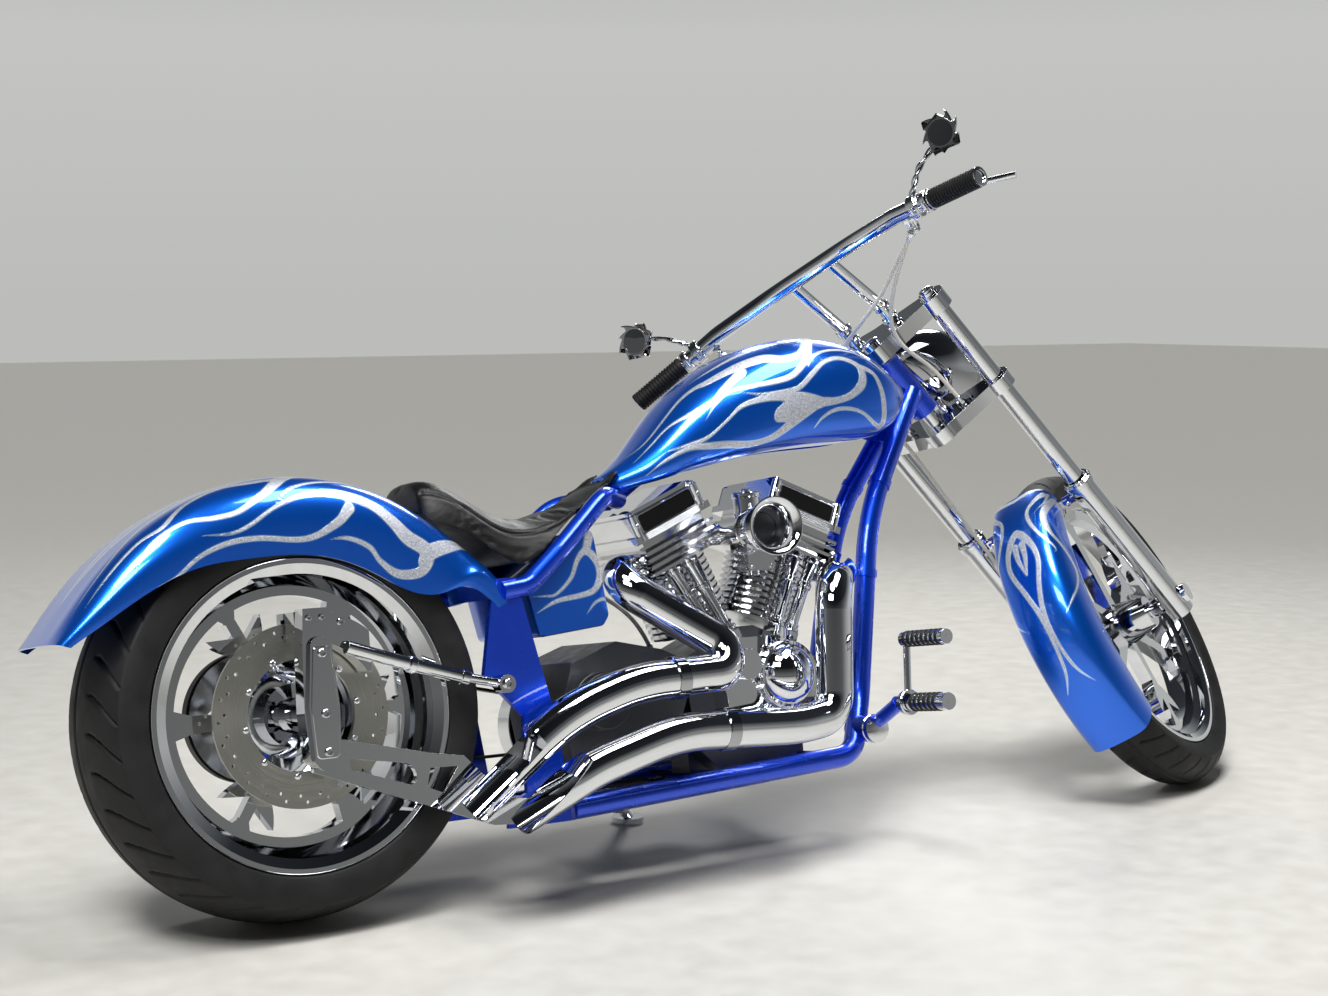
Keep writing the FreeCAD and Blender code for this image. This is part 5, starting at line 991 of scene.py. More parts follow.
# copy of the CAD seat in even quads, a little smaller all round, and which of its points lie underneath
def smallSaddle():
    v = saddleValues
    source = frame["nodes"]["seat"]
    piece = bpy.data.objects.new("leather_saddle", source.data.copy())
    piece.data.transform(source.matrix_world)
    bpy.context.scene.collection.objects.link(piece)
    remesh = piece.modifiers.new("remesh", "REMESH")
    remesh.mode, remesh.voxel_size = "VOXEL", v["voxelMm"] * mm
    applyAll(piece)
    setSpots(piece.data, meshSpots(piece.data, machine) - meshNormals(piece.data, machine) * v["shrinkMm"],
             machine)
    return piece, meshNormals(piece.data, machine)[:, 2] < v["heldBelow"]


def swollen(piece, low):
    v = saddleValues
    held = piece.vertex_groups.new(name="held")
    held.add(np.flatnonzero(low).tolist(), 1.0, "REPLACE")
    cloth = piece.modifiers.new("cloth", "CLOTH")
    cloth.settings.vertex_group_mass = "held"
    cloth.settings.use_pressure, cloth.settings.uniform_pressure_force = True, v["pressure"]
    cloth.settings.effector_weights.gravity = 0
    for step in range(1, v["frames"] + 1):
        bpy.context.scene.frame_set(step)
    applyAll(piece)
    bpy.context.scene.frame_set(1)
    return meshSpots(piece.data, machine)


# the move of each point is capped, which ends it at the CAD seat's own skin, clear of the rails;
# then the seam sinks along its line and the leather beside it swells, both as bell curves
def addSaddle():
    v = saddleValues
    piece, low = smallSaddle()
    before = meshSpots(piece.data, machine)
    move = swollen(piece, low) - before
    far = np.linalg.norm(move, axis=1, keepdims=True)
    setSpots(piece.data, before + move * np.minimum(1, v["capMm"] / np.maximum(far, 1e-6)), machine)
    piece.modifiers.new("finer", "SUBSURF")
    applyAll(piece)
    spots, ways = meshSpots(piece.data, machine), meshNormals(piece.data, machine)
    threads = []
    for side in (-1, 1):
        seam = smoothLine(skinLine(piece, side, *v["seam"])[::3], 8)
        threads.append(skinLine(piece, side, *v["thread"]))
        away = np.min(np.linalg.norm(spots[:, None, :] - seam[None, :, :], axis=2), axis=1)[:, None]
        spots = spots - ways * v["seamDeep"] * np.exp(-(away / v["seamMm"]) ** 2)
        spots = spots + ways * v["crownMm"] * np.exp(-((away - v["crownAway"]) / v["crownWide"]) ** 2)
    setSpots(piece.data, spots, machine)
    piece.data.materials.clear()
    piece.data.materials.append(seatLeather)
    piece.data.shade_smooth()
    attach(piece, "chassis")
    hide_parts("seat")
    return piece, threads


# short raised threads laid end to end beside the seam, each pressed into the leather at its ends
def addStitches(piece, lines):
    v = saddleValues
    threads = []
    for line in lines:
        run = np.concatenate([[0], np.cumsum(np.linalg.norm(np.diff(line, axis=0), axis=1))])
        for start in np.arange(v["endMm"][0], run[-1] - v["endMm"][1], v["pitchMm"]):
            at = start + np.linspace(0, v["stitchMm"], len(v["lift"]))
            path = intoRow(np.column_stack([np.interp(at, run, line[:, k]) for k in range(3)]), machine)
            found = [piece.closest_point_on_mesh(Vector(spot)) for spot in path]
            lift = v["threadMm"] * np.array(v["lift"])[:, None] * mm
            top = np.array([f[1] for f in found]) + lift * np.array([f[2] for f in found])
            threads.append(tubePart(intoFrame(top, machine), v["threadMm"], 6))
    addPiece("saddle_stitching", joined(threads), machine, threadDark, "chassis")


addStitches(*addSaddle())
print("saddle")

# Engine dressing

engineValues = {"crank": (860, 0, 262), "halfVee": 22.5}


# frame of one cylinder, its Z axis up along the bore
def veePlace(tilt):
    return machine @ shifted(*engineValues["crank"]) @ turned(tilt, "Y")


# bolts of one size from their feet, all facing one way
def bolts(feet, direction, radius, high):
    return joined([boltPart(foot, direction, radius, high) for foot in feet])


# round bar between two points with its rims bevelled
def barPart(a, b, radius, bevel=1.0, sides=32):
    length = float(np.linalg.norm(np.subtract(b, a)))
    profile = [(0, 0.01), (0, radius - bevel), (bevel, radius), (length - bevel, radius),
               (length, radius - bevel), (length, 0.01)]
    return placed(lathed(profile, sides), axisPlace(a, np.subtract(b, a)))


# closed ring about a line: centre, way, inner and outer radius and length
def collarPart(centre, way, inner, outer, length, sides=40):
    half, b = length / 2, min(1.0, length / 5)
    profile = [(-half, inner), (-half, outer - b), (-half + b, outer), (half - b, outer), (half, outer - b),
               (half, inner)]
    return placed(lathed(profile, sides, True), axisPlace(centre, way))


# the part with its like on the other side: half a turn about Z
def bothSides(part):
    return joined([part, placed(part, turned(180, "Z"))])


# Rocker boxes: heights along the bore, half widths along and across the engine
rockerValues = {
    "low": 360.9, "middle": 373.7, "high": 410.8, "across": 89, "baseAcross": 94, "panelHalf": 60,
    "corner": 5, "rimHalf": 66, "postAt": 70, "postR": 8.5, "sunk": 3, "ribs": 4, "ribPitch": 3.0,
    "ribR": 1.3,
}


# black panels in a bright frame with corner posts, and a ribbed strip below
def addRockerTrim():
    v = rockerValues
    low, high, across, half, rim = v["middle"], v["high"], v["across"], v["panelHalf"], v["rimHalf"]
    outline = roundedOutline([(-half, low + 3), (half, low + 3), (half, high - 4), (-half, high - 4)],
                             v["corner"])
    panel = placed(slabPart(outline, across - 1, across + 1.2, 0.6), uprightTurn)
    trim = [placed(slabPart([(-rim, a), (rim, a), (rim, b), (-rim, b)], across - 1, across + 3.2, 0.9),
                   uprightTurn) for a, b in ((low + 0.5, low + 2.4), (high - 3.4, high - 0.8))]
    for x in (-v["postAt"], v["postAt"]):
        trim.append(barPart((x, -across + v["sunk"], low - 11), (x, -across + v["sunk"], high + 2),
                            v["postR"], 1.5))
        trim.append(boltPart((x, -across + v["sunk"], high + 1.9), (0, 0, 1), 5.5, 4))
        trim.append(boltPart((x, -across - 5.3, (low + high) / 2), (0, -1, 0), 4, 2.5))
    for k in range(v["ribs"]):
        y, z = -v["baseAcross"] - 0.2, v["low"] + 2.2 + v["ribPitch"] * k
        trim.append(barPart((-half, y, z), (half, y, z), v["ribR"], 0.4, 12))
    for name, tilt in (("rear", -engineValues["halfVee"]), ("front", engineValues["halfVee"])):
        addPiece(name + "_rocker_panels", bothSides(panel), veePlace(tilt), blackGloss, "chassis")
        addPiece(name + "_rocker_frame", bothSides(joined(trim)), veePlace(tilt), chrome, "chassis")


# Pushrod tubes: x of foot and head on the outer side, y and height of foot and head; the collars
# are the share of the way up, radius and length
pushrodValues = {
    "tubes": [(22, 42), (-8, 4)], "foot": (-102, 146.3), "head": (-90, 302.3), "inner": 10.6,
    "collars": [(0.05, 16, 7), (0.12, 14, 5), (0.62, 14, 9), (0.92, 15, 8)],
}


# collars on the pushrod tubes, at both ends and above the middle
def addPushrodCollars():
    v = pushrodValues
    for name, outward in (("rear", -1), ("front", 1)):
        rings = []
        for foot, head in v["tubes"]:
            a, b = np.array([foot * outward, *v["foot"]]), np.array([head * outward, *v["head"]])
            rings += [collarPart(a + (b - a) * share, b - a, v["inner"], radius, length) for share, radius,
                      length in v["collars"]]
        addPiece(name + "_pushrod_collars", joined(rings), veePlace(outward * engineValues["halfVee"]),
                 chrome, "chassis")


# Intake horn: profiles are distance from the carburettor and radius
hornValues = {
    "root": (852.96, -167.5, 578), "way": (-0.1203, -0.9927, 0), "screwAt": (852.96, -171.2, 578),
    "screwRing": 37, "screwTurns": (0.8, 2.4, 3.9, 5.5),
    "plate": [(3, 0.01), (3, 26.8), (5, 26.8), (6, 20), (6.5, 0.01)],
    "bell": [
        (0, 27), (0, 36), (2, 38), (6, 38), (8, 36), (10, 33.5), (12, 40), (15, 42.5), (19, 43), (23, 41),
        (26, 35), (32, 33.5), (42, 36), (50, 41), (56, 47.5), (58.5, 51), (60, 52), (60.6, 50.5),
        (60, 48.6), (56, 43), (48, 37), (38, 32), (24, 28.5),
    ],
}


# a thick ring, then a bell that rolls over at its mouth, with the dark throttle plate inside
def addHorn():
    v = hornValues
    place = axisPlace(v["root"], v["way"])
    addPiece("bell_mouth", placed(lathed(v["bell"], 96, True), place), machine, chrome, "chassis",
             ("intake_horn",), 60)
    addPiece("throttle_plate", placed(lathed(v["plate"], 64), place), machine, castPaintedShade, "chassis")
    t = np.array(v["screwTurns"])
    ring = np.column_stack([np.sin(t) * -v["way"][1], np.sin(t) * -v["way"][0], np.cos(t)])
    addPiece("horn_screws", bolts(v["screwAt"] + v["screwRing"] * ring, v["way"], 3, 2.5), machine,
             darkChrome, "chassis")


# Carburettor: bars are two ends, radius and bevel; collars are centre, way, radii and length
carburettorValues = {
    "bars": [
        ((860, -118, 636), (860, -118, 646), 26, 2), ((860, -118, 645), (860, -118, 653), 9, 1.5),
        ((860, -123, 497), (860, -123, 507), 11, 1.5), ((884, -128, 585), (905, -128, 585), 12, 1.5),
        ((812, -130, 560), (836, -130, 560), 6, 1), ((885, -140, 540), (900, -140, 540), 7, 1),
    ],
    "collars": [
        ((860, -118, 606), (0, 0, 1), 23, 27, 6), ((856, -140, 578), (-0.1203, -0.9927, 0), 33, 38, 7),
    ],
    "bowlScrews": [(840, -149.8, 512), (880, -149.8, 512), (840, -149.8, 558), (880, -149.8, 558)],
    "capCentre": (860, -118, 645.8), "capRing": 20, "capTurns": (0.8, 2.36, 3.9, 5.5),
    "lever": [(-14, -6), (10, -9), (30, -4), (34, 4), (12, 10), (-12, 9)], "leverAt": (862, -153, 606),
}


# cap, drain, spindle, unions, screws and the throttle's lever
def addCarburettorTrim():
    v = carburettorValues
    parts = [barPart(*bar) for bar in v["bars"]] + [collarPart(*collar) for collar in v["collars"]]
    parts.append(bolts(v["bowlScrews"], (0, -1, 0), 3.5, 3))
    t = np.array(v["capTurns"])
    cap = v["capCentre"] + v["capRing"] * np.column_stack([np.cos(t), np.sin(t), 0 * t])
    parts.append(bolts(cap, (0, 0, 1), 3, 2.5))
    lever = placed(slabPart(roundedOutline(v["lever"], 3), 0, 3, 0.8), uprightTurn)
    parts.append(placed(lever, shifted(*v["leverAt"])))
    addPiece("carburettor_fittings", joined(parts), machine, chrome, "chassis")


# Cam cover: rings are y, radii and length
camValues = {
    "x": 910, "z": 318, "rings": [(-133.4, 50, 59.5, 3), (-128, 56, 60.5, 4)], "boltY": -121,
    "boltRing": 66, "boltTurns": (20, 75, 130, 185, 240, 300),
}


# a stepped rim round the dome and bolts round the gear case
def addCamTrim():
    v = camValues
    rings = [collarPart((v["x"], y, v["z"]), (0, -1, 0), inner, outer, length) for y, inner, outer,
             length in v["rings"]]
    feet = [(v["x"] + v["boltRing"] * math.cos(t), v["boltY"], v["z"] + v["boltRing"] * math.sin(t))
            for t in np.radians(v["boltTurns"])]
    addPiece("cover_rings", joined(rings), machine, chrome, "chassis")
    addPiece("cover_bolts", bolts(feet, (0, -1, 0), 5, 4), machine, darkChrome, "chassis")


# Exhaust: two points of each pipe at its port, and centre and way of each clamp
exhaustValues = {
    "ports": [((1030, -30, 520), (1086, -72, 499)), ((700, -30, 524), (554, -130, 512))], "inner": 33.4,
    "flangeAt": 16, "flangeR": 41, "flangeMm": 8, "clampR": 36.5, "clampMm": 22,
    "clamps": [((700, -234.7, 238.6), (1, 0.03, -0.05)), ((620, -220.6, 332), (1, 0.01, 0.02))],
}


# a flange ring at each port and a clamp round each pipe
def addExhaustTrim():
    v = exhaustValues
    parts = []
    for a, b in v["ports"]:
        way = np.subtract(b, a) / np.linalg.norm(np.subtract(b, a))
        parts.append(collarPart(a + way * v["flangeAt"], way, v["inner"], v["flangeR"], v["flangeMm"]))
    parts += [collarPart(spot, way, v["inner"], v["clampR"], v["clampMm"]) for spot, way in v["clamps"]]
    addPiece("pipe_clamps", joined(parts), machine, darkChrome, "chassis")


addRockerTrim()
addPushrodCollars()
addHorn()
addCarburettorTrim()
addCamTrim()
addExhaustTrim()
print("engine trim")

# Front end dressing, in the fork's frame

# Hoses: their routes, and the CAD nodes that they replace; the throttle cable stands for both
# control cables
hoseValues = {
    "radius": 4.0, "ferruleR": 5.6, "ferruleMm": 22, "nutAt": 2,
    "nut": [(0, 0.01), (0, 7.4), (8, 7.4), (8, 0.01)],
    "replaces": {"brake_hose": "brake_hose", "throttle_cable": "control_cables", "oil_line": "oil_line"},
}
hoseRoutes = {
    "brake_hose": [
        (-44, -236, 1004), (-24, -170, 975), (-6, -110, 930), (-2, -40, 900), (-2, 36, 878), (-6, 80, 846),
        (-9, 72, 806), (0, 76, 740), (-8, 74, 655), (2, 78, 596), (20, 92, 500), (28, 98, 400),
        (22, 100, 300), (2, 98, 225), (-42, 92, 172), (-46, 90, 118.7),
    ],
    "throttle_cable": [
        (-58, -226, 1008), (-34, -160, 960), (-20, -96, 905), (-16, -55, 852), (-16, -55, 796),
        (24, -58, 740), (24, -62, 690), (24, -62, 626.3),
    ],
    "clutch_cable": [
        (-66, 230, 1010), (-36, 165, 965), (-18, 96, 905), (-16, 55, 852), (-16, 55, 796), (24, 58, 740),
        (24, 62, 690), (24, 62, 626.3),
    ],
    "oil_line": [(555.2, 64, 500), (612, 64, 507.5), (700, 64, 462), (730.3, 64, 417.7), (749.9, 64, 371.9)],
}


# hose held at both ends: a round smooth spline whose control points are the route's own points
def addHose(name, route, radius, place, material, body):
    curve = bpy.data.curves.new(name, "CURVE")
    curve.dimensions, curve.bevel_depth = "3D", radius * mm
    curve.bevel_resolution, curve.use_fill_caps = 6, True
    spline = curve.splines.new("NURBS")
    spline.points.add(len(route) - 1)
    for point, spot in zip(spline.points, intoRow(np.array(route, float), place)):
        point.co = (*spot, 1.0)
    spline.use_endpoint_u, spline.order_u, spline.resolution_u = True, 4, 10
    curve.materials.append(material)
    piece = bpy.data.objects.new(name, curve)
    bpy.context.scene.collection.objects.link(piece)
    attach(piece, body)
    return piece


# hoses with a ferrule and a hexagon union at both ends
def addHoses():
    v = hoseValues
    for name, route in hoseRoutes.items():
        place, body = (machine, "chassis") if name == "oil_line" else (fork, "steering")
        piece = addHose("bent_" + name, route, v["radius"], place, hoseWhite, body)
        if name in v["replaces"]:
            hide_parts(v["replaces"][name])
        ends = []
        for a, b in ((route[0], route[1]), (route[-1], route[-2])):
            way = np.subtract(b, a) / np.linalg.norm(np.subtract(b, a))
            ends.append(barPart(a, a + way * v["ferruleMm"], v["ferruleR"], 1))
            ends.append(placed(lathed(v["nut"], 6), axisPlace(a + way * v["nutAt"], way)))
        addPiece(name + "_unions", joined(ends), place, chrome, body, (), 25)


# Elbows: lower and upper end of each, and how far its middle bends out
elbowValues = {
    "ends": [
        ((-44, -236, 1004), (-51, -239, 1031)), ((-58, -226, 1008), (-50, -229, 1031)),
        ((-66, 230, 1010), (-51, 233, 1031)),
    ],
    "bend": (5, 0, -3), "radius": 5.2, "nut": [(0, 0.01), (0, 8.6), (7, 8.6), (7, 0.01)],
}


# chrome elbows that carry the upper hose ends from the bar, each with a hexagon nut at its top
def addElbows():
    v = elbowValues
    parts = []
    for foot, top in v["ends"]:
        middle = np.add(foot, top) / 2 + v["bend"]
        parts.append(tubePart(smoothLine([foot, middle, top], 12), v["radius"], 20))
        parts.append(placed(lathed(v["nut"], 6), axisPlace(top, np.subtract(middle, top))))
    addPiece("hose_elbows", joined(parts), fork, chrome, "steering", (), 25)


# Grips: ends of the left one; profiles are distance from its inner end and radius
gripValues = {
    "ends": [(-70, 300, 1041), (-113, 406, 1040)], "inner": [(2, 16), (2, 18.6), (5, 19)],
    "grooves": (10, 108, 6.5), "groove": [(0, 19), (0.8, 17.2), (1.6, 17.2), (2.4, 19)],
    "outer": [(113, 19), (116, 18.4), (116, 16)], "collar": (16.6, 19, 2.4),
    "cap": [(116.2, 13.2), (116.2, 18.6), (117.6, 18.6), (118, 13.2)],
}


# rubber with raised rings between two chrome collars
def addGrips():
    v = gripValues
    grooves = [(start + along, radius) for start in np.arange(*v["grooves"]) for along, radius in v["groove"]]
    for side, name in ((-1, "right"), (1, "left")):
        a, b = np.array(v["ends"], float) * (1, side, 1)
        way = (b - a) / np.linalg.norm(b - a)
        place = axisPlace(a, way)
        rubber = placed(lathed(v["inner"] + grooves + v["outer"], 48, True), place)
        addPiece(name + "_grip_rubber", rubber, fork, gripRubber, "steering",
                 ("grips",) if side < 0 else (), 40)
        collars = [collarPart(a + way, way, *v["collar"]), placed(lathed(v["cap"], 48, True), place)]
        addPiece(name + "_grip_collars", joined(collars), fork, chrome, "steering")


# Bar: outer and inner end of its left straight, the lever's pivot, clamps as share of the way out,
# radius and length, riser collars as heights and radii with length
barValues = {
    "straight": [(-68, 295, 1041), (-46, 215, 1046)], "pivot": (-34, 285, 1026), "pivotHalf": 12,
    "inner": 16.3, "clamps": [(0.60, 23, 18), (0.93, 21.5, 12)], "boltWay": (0.1, 0, 0.995), "earUnder": 7,
    "earMm": 13, "earIn": 1.5, "riser": (52, 46), "riserHeights": (851, 880), "riserCollar": (12.6, 17, 10),
    "legCap": (66, 131, 851), "stemCap": (0, 0, 842),
}


# clamp round the bar with its two bolts, one on each side of it
def barClamp(centre, way, outer, length):
    v = barValues
    boltWay = np.array(v["boltWay"])
    across = np.cross(way, boltWay)
    across /= np.linalg.norm(across)
    feet = [centre + across * side * (outer - v["earIn"]) - boltWay * v["earUnder"] for side in (-1, 1)]
    ears = [barPart(foot, foot + boltWay * v["earMm"], 5, 0.8, 20) for foot in feet]
    heads = [boltPart(foot + boltWay * (v["earMm"] - 0.2), boltWay, 3.8, 3) for foot in feet]
    return joined([collarPart(centre, way, v["inner"], outer, length)] + ears + heads)


# perches on the bar, switch collars, lever pivots, riser clamps and the bolts of both trees
def addBarTrim():
    v = barValues
    parts = []
    for side in (-1, 1):
        outer, inner = np.array(v["straight"], float) * (1, side, 1)
        way = (outer - inner) / np.linalg.norm(outer - inner)
        parts += [barClamp(inner + (outer - inner) * share, way, radius, length) for share, radius,
                  length in v["clamps"]]
        pivot, rise = np.array(v["pivot"], float) * (1, side, 1), np.array([0, 0, v["pivotHalf"]])
        parts.append(barPart(pivot - rise, pivot + rise, 8, 1))
        parts.append(boltPart(pivot + rise, (0, 0, 1), 5, 4))
        x, y = v["riser"]
        parts += [collarPart((x, side * y, z), (0, 0, 1), *v["riserCollar"]) for z in v["riserHeights"]]
        parts.append(boltPart(np.multiply(v["legCap"], (1, side, 1)), (0, 0, 1), 14, 6))
    parts.append(boltPart(v["stemCap"], (0, 0, 1), 18, 7))
    addPiece("bar_fittings", joined(parts), fork, chrome, "steering")


# Mirrors: tongues of the edge are degrees about the middle and length; the stem is the left one's
mirrorValues = {
    "tongues": [
        (8, 15), (46, 9), (83, 18), (126, 11), (158, 18), (201, 13), (233, 9), (262, 17.5), (301, 11),
        (334, 18),
    ],
    "edge": 27, "tongueDegrees": 9, "curl": 1.6, "thick": (0.4, 7.4, 1.6), "middle": (-14, 372, 1119),
    "facing": (-0.8, 0, 0.45), "rim": [(7, 27.5), (7.0, 24.5), (7.8, 24.5), (7.9, 27)],
    "glass": [(7.0, 24.4), (7.45, 24.2), (7.7, 16), (7.8, 0.01)],
    "stem": [(-59, 262, 1057), (-53, 284, 1078), (-40, 308, 1096), (-18, 344, 1107), (-12, 356, 1112)],
    "halfTurns": 5, "strandOff": (2.9, 1.9, 2.2), "strandR": (3.9, 3.1),
    "foot": [(-59, 262, 1052), (-58, 264, 1064)],
}


# a head with a flamed edge and dark glass on a stem of two twisted strands
def addMirrors():
    v = mirrorValues
    frames, glasses, stems = [], [], []
    turn = np.arange(0, 360, 3.0)
    thorn, reach = np.array(v["tongues"], float).T
    gap = np.abs((turn[:, None] - thorn[None, :] + 180) % 360 - 180)
    rise = np.max(reach * np.exp(-gap / v["tongueDegrees"]), axis=1)
    edge = v["edge"] + rise
    for side in (-1, 1):
        twist = np.radians(turn * side + v["curl"] * rise)
        outline = np.column_stack([edge * np.cos(twist), edge * np.sin(twist)])
        place = axisPlace(np.multiply(v["middle"], (1, side, 1)), v["facing"])
        frames += [placed(slabPart(outline, *v["thick"]), place), placed(lathed(v["rim"], 72, True), place)]
        glasses.append(placed(lathed(v["glass"], 72), place))
        line = smoothLine(np.multiply(v["stem"], (1, side, 1)), 22)
        for phase in (0, math.pi):
            angle = np.linspace(0, v["halfTurns"] * math.pi, len(line)) + phase
            offset = np.column_stack([np.cos(angle), np.sin(angle), np.sin(angle)]) * v["strandOff"]
            stems.append(tubePart(line + offset, np.linspace(*v["strandR"], len(line)), 14))
        stems.append(barPart(*np.multiply(v["foot"], (1, side, 1)), 9, 1.5))
    addPiece("mirror_frames", joined(frames), fork, darkChrome, "steering", ("mirrors",), 40)
    addPiece("mirror_glasses", joined(glasses), fork, mirrorGlass, "steering")
    addPiece("mirror_stems", joined(stems), fork, darkChrome, "steering")


# Headlight: profiles are distance ahead of the rim and radius
headlightValues = {
    "front": (198, 0, 640), "ahead": 20,
    "rim": [(-3, 76), (-3, 82), (-8, 86), (-16, 86), (-20, 84.4), (-24, 86)],
    "shell": [(-60, 85.5), (-108, 79), (-150, 63), (-184, 41), (-205, 19), (-213, 0.01)],
    "bowl": [(-7, 77), (-20, 72), (-40, 56), (-55, 34), (-62, 8), (-63, 0.01)],
    "glass": [(-4, 77.5), (-1.5, 76), (-0.6, 60), (-0.2, 30), (-0.1, 0.01), (-3, 0.01), (-4, 60), (-6, 76)],
}


# bullet shell with its rim, reflector and glass; the axis lies level ahead
def addHeadlight():
    v = headlightValues
    rake = math.radians(stand["rakeDegrees"])
    ahead = np.array([math.cos(rake), 0, -math.sin(rake)])
    place = axisPlace(v["front"] + ahead * v["ahead"], ahead)
    shell = v["rim"] + smoothLine(v["shell"], 6).tolist()
    addPiece("headlight_shell", placed(lathed(shell, 96), place), fork, darkChrome, "steering",
             ("headlight",), 40)
    addPiece("headlight_reflector", placed(lathed(v["bowl"], 72), place), fork, chrome, "steering")
    addPiece("headlight_glass", placed(lathed(v["glass"], 72), place), fork, headLens, "steering")


# Fork legs: collars are height above the axle, radii and length
legValues = {
    "x": 66, "half": 131, "collars": [(338, 25.5, 30.5, 10), (346, 23, 27.5, 5)], "nutAt": 158,
    "bracket": [(66, 78, 314), (66, 104, 314)], "bracketBolt": (50, 92, 314),
    "caliperBolts": [(-72, 104, 82), (-72, 104, 106), (-30, 120, 92)],
}


# fender brackets, slider collars, axle nuts and the caliper's bolts
def addForkTrim():
    v = legValues
    bright, blue = [bolts(v["caliperBolts"], (0, 1, 0), 5, 4)], []
    for side in (-1, 1):
        bright += [collarPart((v["x"], side * v["half"], z), (0, 0, 1), *sizes) for z, *sizes in v["collars"]]
        bright.append(boltPart((v["x"], side * v["nutAt"], 0), (0, side, 0), 13, 6))
        bright.append(boltPart(np.multiply(v["bracketBolt"], (1, side, 1)), (-1, 0, 0), 5, 4))
        blue.append(barPart(*np.multiply(v["bracket"], (1, side, 1)), 9, 1.5))
    addPiece("fork_fittings", joined(bright), fork, chrome, "steering")
    addPiece("fender_brackets", joined(blue), fork, frameBlue, "steering")


addHoses()
addElbows()
addGrips()
addBarTrim()
addMirrors()
addHeadlight()
addForkTrim()
print("front end")

# Wheels and rear end dressing

# discs: the CAD ring with its grinding marks read from the distance to the axle
def addDisc(node, place, body):
    mesh = frame["nodes"][node].data.copy()
    mesh.transform(frame["nodes"][node].matrix_world)
    spots = meshSpots(mesh, place)
    layer = mesh.attributes.new("ringMm", "FLOAT", "POINT")
    layer.data.foreach_set("value", np.hypot(spots[:, 0], spots[:, 2]).astype(np.float32))
    mesh.materials.clear()
    mesh.materials.append(discSteel)
    piece = bpy.data.objects.new("ground_" + node, mesh)
    bpy.context.scene.collection.objects.link(piece)
    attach(piece, body)
    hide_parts(node)


# Wheels: face and side that the rivets sit on, and the rim's lip as radius and half width; the
# bead's profile starts from the lip
wheelValues = {
    "rear": {"face": -103.2, "side": -1, "lip": 246, "lipHalf": 118},
    "front": {"face": 81.2, "side": 1, "lip": 281, "lipHalf": 46}, "rivets": 10, "firstDegrees": 9,
    "rivetRing": 95, "rivet": [(0, 0.01), (0, 5.5), (0.8, 5.5), (1.4, 3.4), (2.0, 2.8), (2.3, 0.01)],
    "bead": [(-3.2, -1.2), (-0.4, -0.8), (0.8, 0.4), (-0.4, 1.4), (-3.2, 1.0)],
}


# rivets with washers on the ring between disc and carrier, and a bead round both lips of the rim
def addWheelTrim(name, place, body):
    v, wheel = wheelValues, wheelValues[name]
    rivets = []
    for t in np.radians(v["firstDegrees"] + 360 / v["rivets"] * np.arange(v["rivets"])):
        foot = (v["rivetRing"] * math.cos(t), wheel["face"], v["rivetRing"] * math.sin(t))
        rivets.append(placed(lathed(v["rivet"], 20), axisPlace(foot, (0, wheel["side"], 0))))
    ring = [(wheel["lipHalf"] + along, wheel["lip"] + out) for along, out in v["bead"]]
    beads = [placed(lathed(ring, 160, True), axisPlace((0, 0, 0), (0, edge, 0))) for edge in (-1, 1)]
    addPiece(name + "_rivets", joined(rivets), place, chrome, body)
    addPiece(name + "_rim_beads", joined(beads), place, chrome, body, (), 60)


# Rear carrier: outline of its cover, bolts by their feet, caliper bolts as degrees about the axle
# and distance from it, the torque rod's end and collars
carrierValues = {
    "cover": [(-15, 260), (-19, 340), (-10, 432), (18, 432), (25, 340), (22, 260)], "coverFrom": 191.0,
    "coverTo": 193.6, "coverBolts": [(4, -193.4, 422), (3, -193.4, 329), (4, -193.4, 270)],
    "postBolts": [(-10, -182.4, 478), (12, -182.4, 478)], "caliperY": -148.1,
    "caliperBolts": [(52, 124), (68, 152), (84, 152), (96, 124)], "rodBolt": (334, -163, 348),
    "rodCollars": [
        ((170, -154.4, 392), (0.9, 0, -0.3), 10.8, 13.5, 12),
        ((262, -151.4, 364.5), (0.93, 0, -0.3), 8, 13, 14),
    ],
}


# bolts of the rear carrier, its cover, the caliper's bolts and the torque rod's eyes
def addCarrierTrim():
    v = carrierValues
    cover = slabPart(roundedOutline(v["cover"], 8), v["coverFrom"], v["coverTo"], 1.0)
    parts = [placed(cover, uprightTurn), bolts(v["coverBolts"], (0, -1, 0), 6.5, 4),
             bolts(v["postBolts"], (0, -1, 0), 4.5, 4)]
    for degrees, away in v["caliperBolts"]:
        t = math.radians(degrees)
        foot = (away * math.cos(t), v["caliperY"], stand["rearAxleUp"] + away * math.sin(t))
        parts.append(boltPart(foot, (0, -1, 0), 5.5, 4))
    parts.append(boltPart(v["rodBolt"], (0, -1, 0), 8, 6))
    parts += [collarPart(*collar) for collar in v["rodCollars"]]
    addPiece("carrier_fittings", joined(parts), machine, chrome, "chassis")


# Shock absorbers: both ends of the coil, its half turns and radii
shockValues = {"across": 52, "z": 137, "from": 648.0, "to": 742.0, "halfTurns": 15, "coilR": 14.5,
               "wireR": 2.6, "plateAt": 646}


# a coil round each shock absorber with a plate at its end
def addShockSprings():
    v = shockValues
    share = np.linspace(0, 1, 301)
    angle = share * v["halfTurns"] * math.pi
    parts = []
    for y in (-v["across"], v["across"]):
        helix = np.column_stack([v["from"] + (v["to"] - v["from"]) * share, y + v["coilR"] * np.cos(angle),
                                 v["z"] + v["coilR"] * np.sin(angle)])
        parts.append(tubePart(helix, v["wireR"], 8))
        parts.append(collarPart((v["plateAt"], y, v["z"]), (1, 0, 0), 10, 21, 5))
    addPiece("shock_springs", joined(parts), machine, darkChrome, "chassis")


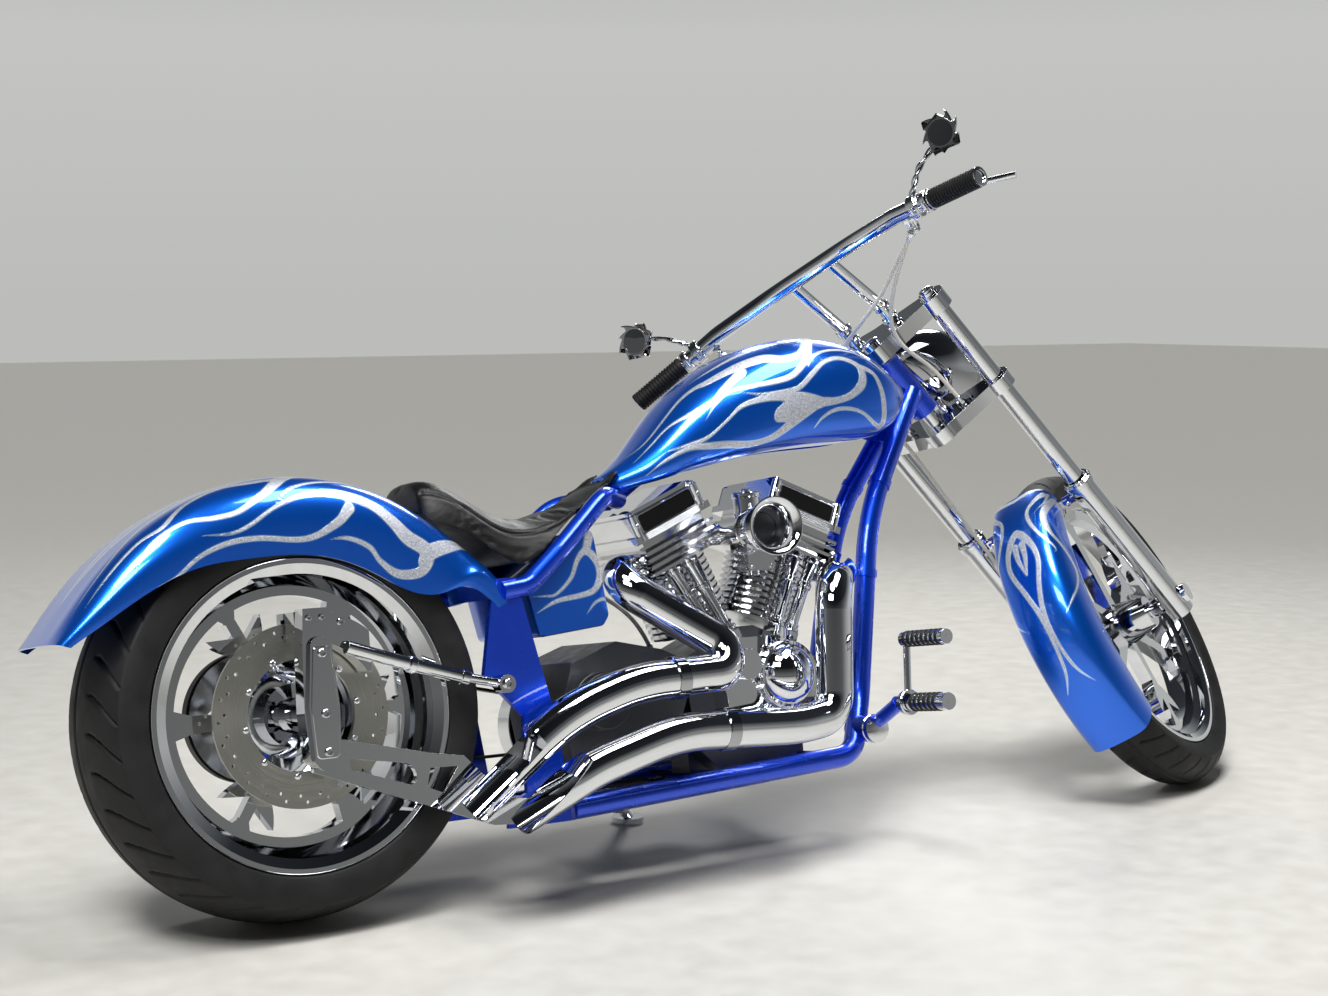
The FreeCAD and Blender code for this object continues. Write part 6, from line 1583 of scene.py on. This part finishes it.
# Pegs: pads are x, z, inner end, outer end and radius; the pivot plate's cap is distance and radius
pegValues = {
    "pads": [(1078, 250, 266, 362, 15), (1086, 362, 250, 362, 13)], "ringFrom": 8, "ringTo": 12,
    "pitchMm": 13.0, "ringMm": 6.5, "ball": [(0, 0.86), (2, 1.02), (3.4, 0.9)],
    "pegCollar": (1078, 255, 250), "pivot": (1072, 205),
    "cap": [(0, 24.6), (1.2, 25.2), (2.4, 21), (4.2, 12), (4.8, 0.01)], "capAt": 160.2,
    "pivotCollarAt": 148,
}


# pegs and pads: rubber rings on a chrome core with a ball at the end
def addPegTrim():
    v = pegValues
    rubber, bright = [], []
    pivotX, pivotZ = v["pivot"]
    for side in (-1, 1):
        for x, z, start, end, r in v["pads"]:
            rubber += [collarPart((x, side * along, z), (0, 1, 0), r - 0.6, r + 1.7, v["ringMm"], 32)
                       for along in np.arange(start + v["ringFrom"], end - v["ringTo"], v["pitchMm"])]
            ball = [(along, r * share) for along, share in v["ball"]] + [(4.0, 0.01)]
            bright.append(placed(lathed(ball, 32), axisPlace((x, side * (end + 0.2), z), (0, side, 0))))
        bright.append(collarPart(np.multiply(v["pegCollar"], (1, side, 1)), (0, 1, 0), 21, 23, 6))
        bright.append(placed(lathed(v["cap"], 48), axisPlace((pivotX, side * v["capAt"], pivotZ),
                                                             (0, side, 0))))
        bright.append(collarPart((pivotX, side * v["pivotCollarAt"], pivotZ), (0, 1, 0), 23.8, 26, 5))
    addPiece("peg_rings", joined(rubber), machine, gripRubber, "chassis")
    addPiece("peg_caps", joined(bright), machine, chrome, "chassis")


addDisc("rear_disc", rearWheel, "rear_wheel")
addDisc("front_disc", frontWheel, "front_wheel")
addWheelTrim("rear", rearWheel, "rear_wheel")
addWheelTrim("front", frontWheel, "front_wheel")
addCarrierTrim()
addShockSprings()
addPegTrim()

# castings and forged parts that keep the CAD's shape, with a wider rounding on the big castings
roundings = {
    "axle_carrier": 1.6, "rear_caliper": 1.6, "swing_arms": 1.6, "fork_trees": 1.6, "cam_cover": 1.6,
    "front_caliper": 1.6, "crankcase": 2.5, "gearbox": 2.5, "primary_cover": 2.5,
}
for name, rounding in roundings.items():
    dressNode(name, rounding)
print("wheels and pegs")
